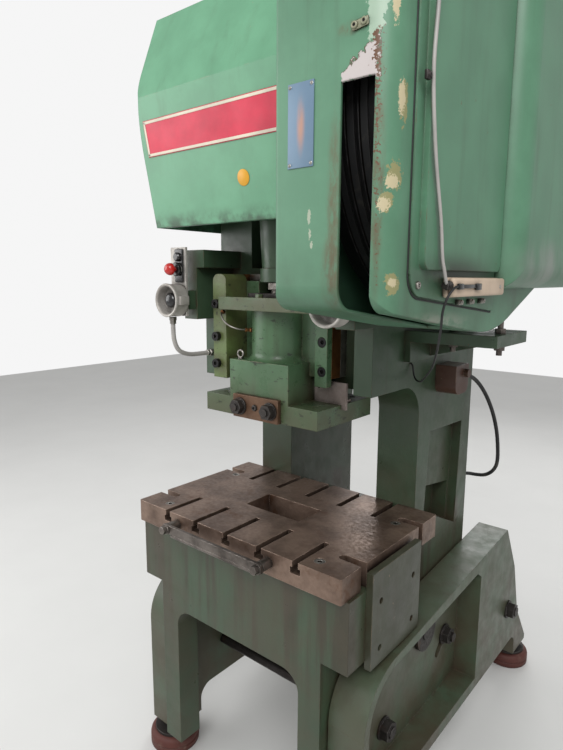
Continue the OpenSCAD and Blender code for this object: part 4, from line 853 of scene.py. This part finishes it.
# Button stations, with profiles of radius and depth from the ring's front
RING_PROFILE = [(0.0101, 0.053), (0.048, 0.055), (0.051, 0.052), (0.052, 0.046),
                (0.0505, 0.030), (0.0505, 0.012), (0.052, 0.008), (0.0525, 0.003),
                (0.0505, 0.0004), (0.0465, 0.0004), (0.044, 0.003), (0.043, 0.008),
                (0.043, 0.032), (0.040, 0.035), (0.0101, 0.0355), (0.0101, 0.053)]
PALM_PROFILE = [(0, 0.008), (0.008, 0.0086), (0.015, 0.0108), (0.0205, 0.0145), (0.0235, 0.019),
                (0.0238, 0.0225), (0.0225, 0.024), (0.0088, 0.0245), (0.0088, 0.045), (0, 0.045)]
STOP_PROFILE = [(0, -0.056), (0.007, -0.0555), (0.013, -0.0525), (0.0172, -0.047),
                (0.019, -0.041), (0.0188, -0.036), (0.017, -0.034), (0.0078, -0.0335),
                (0.0078, 0.001), (0, 0.001)]


def ring_guard(x, name):
    """Cast ring guard with a bright rolled lip, open at the front, round its palm button."""
    bm = bmesh.new()
    lathe(bm, RING_PROFILE, (x, PALM_Y, PALM_Z), BACK, 56)
    for ear in (x - 0.0505, x + 0.0505):
        slab(bm, (ear - 0.006, PALM_Y + 0.012, PALM_Z - 0.014),
             (ear + 0.006, PALM_Y + 0.050, PALM_Z + 0.014), 0.003, 2)
    return piece(name, bm, "cast_grey", "press_frame", 50.0)


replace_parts(ring_guard(-PALM_X, "ring_guard_left"), "button_housings")
ring_guard(PALM_X, "ring_guard_right")


def palm_button(x, name, body):
    """Black mushroom on a stem that stays clear of its ring guard's bore."""
    bm = bmesh.new()
    lathe(bm, PALM_PROFILE, (x, PALM_Y, PALM_Z), BACK)
    return piece(name, bm, "black_gloss", body, 50.0)


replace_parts(palm_button(-PALM_X, "palm_mushroom_left", "palm_left"), "palm_button_left")
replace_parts(palm_button(PALM_X, "palm_mushroom_right", "palm_right"), "palm_button_right")


def stop_station():
    """The red button with its collar, the strip behind it and the plate's screws."""
    x, z = middle("stop_button", X), middle("stop_button", Z)
    boss = side("stop_plate", LOW, Y)
    strip, plate = boss + 0.006, boss + 0.012
    bm = bmesh.new()
    lathe(bm, STOP_PROFILE, (x, plate, z), BACK)
    thing = piece("stop_mushroom", bm, "red_gloss", "stop", 50.0)
    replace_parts(thing, "stop_button")
    bm = bmesh.new()
    lathe(bm, [(0.0085, 0), (0.0215, 0), (0.0215, 0.006), (0.0190, 0.0095), (0.0085, 0.0100),
               (0.0085, 0)], (x, boss, z), FRONT, 32)
    slab(bm, (x - 0.019, strip, z - 0.040), (x + 0.019, plate, z + 0.062), 0.0028, 3)
    lathe(bm, [(0, 0), (0.014, 0), (0.014, 0.008), (0.010, 0.012), (0, 0.0125)],
          (x, strip, z + 0.038), FRONT, 28)
    piece("stop_collar", bm, "black_gloss", "press_frame", 40.0)
    bm = bmesh.new()
    for dz in (-0.128, 0.060):
        screw(bm, (x - 0.007, plate, z + dz), FRONT, 0.005, 0.003)
    piece("stop_plate_screws", bm, "bare_steel", "press_frame")


stop_station()

# Steel conduit under the left button station
CONDUIT = millimetres([
    [-305, -672, 1576.5], [-305, -672, 1540], [-305, -668, 1500], [-305, -650, 1468],
    [-305, -610, 1452], [-305, -560, 1449], [-305, -507, 1449]])


def conduit_run():
    bm = bmesh.new()
    tube(bm, curve_points(CONDUIT, 14), 0.0078, ripple=lambda i: 1.0 if i % 2 else 0.88)
    for end, axis in [(CONDUIT[0], DOWN), (CONDUIT[-1], FRONT)]:
        lathe(bm, [(0, 0), (0.0125, 0), (0.0125, 0.010), (0.0105, 0.012), (0.0105, 0.022),
                   (0, 0.022)], end, axis, 6, 1)
    thing = piece("conduit_run", bm, ["grey_sheath", "bare_steel"], "press_frame")
    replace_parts(thing, "conduit")


conduit_run()


PAD_X, PAD_Y = 0.392, 0.640


def isolator_pads():
    """Moulded rubber pads with a lip and a groove."""
    bm = bmesh.new()
    for x in (-PAD_X, PAD_X):
        for y in (-PAD_Y, PAD_Y):
            lathe(bm, [(0, 0), (0.083, 0), (0.0868, 0.002), (0.088, 0.006), (0.088, 0.020),
                       (0.0850, 0.0225), (0.0850, 0.0255), (0.088, 0.028), (0.088, 0.040),
                       (0.0862, 0.0475), (0.0815, 0.0535), (0.074, 0.0572), (0.070, 0.058),
                       (0, 0.058)], (x, y, 0), UP, 56)
    thing = piece("pad_mouldings", bm, "pad_rubber", "base", 40.0)
    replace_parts(thing, "isolator_pads")


isolator_pads()


def junction_box():
    """A tan moulding with a lid seam, the black clamp on it and a screw."""
    front, low = side("junction_box", LOW, Y), side("junction_box", LOW, Z)
    back, high = side("junction_box", HIGH, Y), side("junction_box", HIGH, Z)
    seam, lid = PANEL_FACE + 0.0125, PANEL_FACE + 0.026
    inset = 0.001
    bm = bmesh.new()
    slab(bm, (PANEL_FACE, front, low), (seam, back, high), 0.0055, 4)
    slab(bm, (seam, front + inset, low + inset), (lid, back - inset, high - inset), 0.0058, 4)
    for y, z, thick, bevel in [((-0.755, -0.735), (1.678, 1.690), 0.008, 0.002),
                               ((-0.737, -0.660), (1.680, 1.688), 0.005, 0.0015),
                               ((-0.664, -0.640), (1.676, 1.690), 0.007, 0.002)]:
        slab(bm, (lid, y[0], z[0]), (lid + thick, y[1], z[1]), bevel, finish=1)
    screw(bm, (lid, -0.515, 1.682), RIGHT, 0.004, 0.002, 2)
    thing = piece("junction_moulding", bm, ["tan_plastic", "black_gloss", "bare_steel"],
                  "press_frame", 40.0)
    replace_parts(thing, "junction_box")


junction_box()


# Oil line from the left gib to the ram
OIL_ROUTE = [(-0.150, -0.600, 1.596), (-0.148, -0.611, 1.591), (-0.136, -0.620, 1.579),
             (-0.118, -0.624, 1.566), (-0.098, -0.621, 1.555), (-0.083, -0.609, 1.548),
             (-0.074, -0.592, 1.545), (-0.068, -0.575, 1.5435)]


def oil_line():
    bm = bmesh.new()
    tube(bm, curve_points(OIL_ROUTE, 6), 0.0026, 8)
    thing = piece("oil_line", bm, "bare_steel", None, 60.0)
    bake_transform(thing)
    bm = bmesh.new()
    lathe(bm, [(0, -0.003), (0.0075, -0.003), (0.0075, 0.006), (0.005, 0.008), (0.005, 0.015),
               (0.0062, 0.016), (0.0062, 0.022), (0, 0.022)], (-0.0615, -0.5665, 1.543),
          (-0.42, -0.90, 0.02), 6)
    piece("oil_fitting", bm, "bronze", "slide")
    bm = bmesh.new()
    lathe(bm, [(0, 0), (0.007, 0), (0.007, 0.007), (0, 0.009)], OIL_ROUTE[0], FRONT, 6)
    piece("oil_elbow", bm, "bronze", "press_frame")


oil_line()


def corner_plate():
    """Closes the belt cover's top beside the guard's rounded rear edge."""
    r = 0.050
    x, y = GUARD_OUT - r, GUARD_REAR - r
    outline = [(GUARD_OUT, GUARD_REAR)] + [(x + r * math.sin(t), y + r * math.cos(t))
                                           for t in (math.radians(9 * k) for k in range(11))]
    bm = bmesh.new()
    low = [bm.verts.new((*point, GUARD_TOP - 0.006)) for point in outline]
    high = [bm.verts.new((*point, GUARD_TOP - 0.0005)) for point in outline]
    bm.faces.new(high)
    bm.faces.new(low[::-1])
    for i in range(len(outline)):
        j = (i + 1) % len(outline)
        bm.faces.new((low[i], low[j], high[j], high[i]))
    piece("cover_corner_plate", bm, "guard_green", "press_frame")


corner_plate()


# Small fittings
def cap_set_screw():
    bm = bmesh.new()
    screw(bm, (0, side("clamp_cap", LOW, Y), 1.318), FRONT, 0.0095, 0.006)
    piece("cap_set_screw", bm, "dark_steel", "slide")


def cover_bolts():
    """Bolts in the crank cover's left side."""
    bm = bmesh.new()
    for y in (-0.41, -0.175):
        for z in (1.895, 2.20):
            bolt(bm, (side("crank_cover", LOW, X), y, z), LEFT, 0.010, 0.008, 0.014)
    piece("cover_bolts", bm, "dark_steel", "press_frame")


def hose_fitting():
    """Brass hexagon at the hose's start, half a millimetre ahead of it."""
    x, y, z = HOSE[0]
    bm = bmesh.new()
    lathe(bm, [(0, 0), (0.013, 0), (0.013, 0.010), (0.010, 0.013), (0.010, 0.03), (0, 0.03)],
          (x, y - 0.0005, z), BACK, 6)
    piece("hose_fitting", bm, "bronze", "press_frame")


cap_set_screw()
cover_bolts()
hose_fitting()


# Floor and light
FLOOR_HALF = 9.0
# Brightness of the white world, as it lights the press and as the camera sees it
WORLD_LIGHT, WORLD_SEEN = 0.55, 0.92
# Lamps: name, place, what it is aimed at, size and watts
LAMPS = [("key", (2.4, -3.9, 4.6), (0.1, -0.5, 1.3), (2.6, 2.6), 165.0),
         ("fill", (-3.4, -3.0, 2.6), (0, -0.4, 1.2), (3.0, 3.0), 80.0),
         ("back", (-0.9, 3.9, 3.8), (0.1, 0, 1.4), (3.0, 2.0), 75.0)]


def floor():
    bm = bmesh.new()
    bmesh.ops.create_grid(bm, x_segments=1, y_segments=1, size=FLOOR_HALF)
    mesh = bpy.data.meshes.new("floor")
    bm.to_mesh(mesh)
    bm.free()
    thing = bpy.data.objects.new("floor", mesh)
    bpy.context.scene.collection.objects.link(thing)
    s = Shader("floor_pale")
    colour = s.blend(s.noise(1.5), srgb(226, 226, 224), srgb(216, 216, 214))
    mesh.materials.append(s.finish(colour, 0.8, specular=0.2))
    thing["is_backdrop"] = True


def lamp(name, place, target, size, power):
    data = bpy.data.lights.new(name, "AREA")
    data.shape = "RECTANGLE"
    data.size, data.size_y = size
    data.energy = power
    thing = bpy.data.objects.new(name, data)
    bpy.context.scene.collection.objects.link(thing)
    aim = (Vector(target) - Vector(place)).to_track_quat("-Z", "Y")
    thing.matrix_world = Matrix.Translation(place) @ aim.to_matrix().to_4x4()


def light():
    world = bpy.data.worlds.new("studio")
    bpy.context.scene.world = world
    world.use_nodes = True
    tree = world.node_tree
    ground = tree.nodes["Background"]
    ground.inputs[0].default_value = (1, 1, 1, 1)
    path = tree.nodes.new("ShaderNodeLightPath")
    strength = tree.nodes.new("ShaderNodeMapRange")
    strength.inputs["To Min"].default_value = WORLD_LIGHT
    strength.inputs["To Max"].default_value = WORLD_SEEN
    tree.links.new(path.outputs["Is Camera Ray"], strength.inputs["Value"])
    tree.links.new(strength.outputs[0], ground.inputs[1])
    for one in LAMPS:
        lamp(*one)


floor()
light()
bpy.context.scene.view_settings.view_transform = "Standard"


def corners(box):
    return [[float(c) for c in corner] for corner in box]


{"cad": corners(cad_box), "visual": corners(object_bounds())}
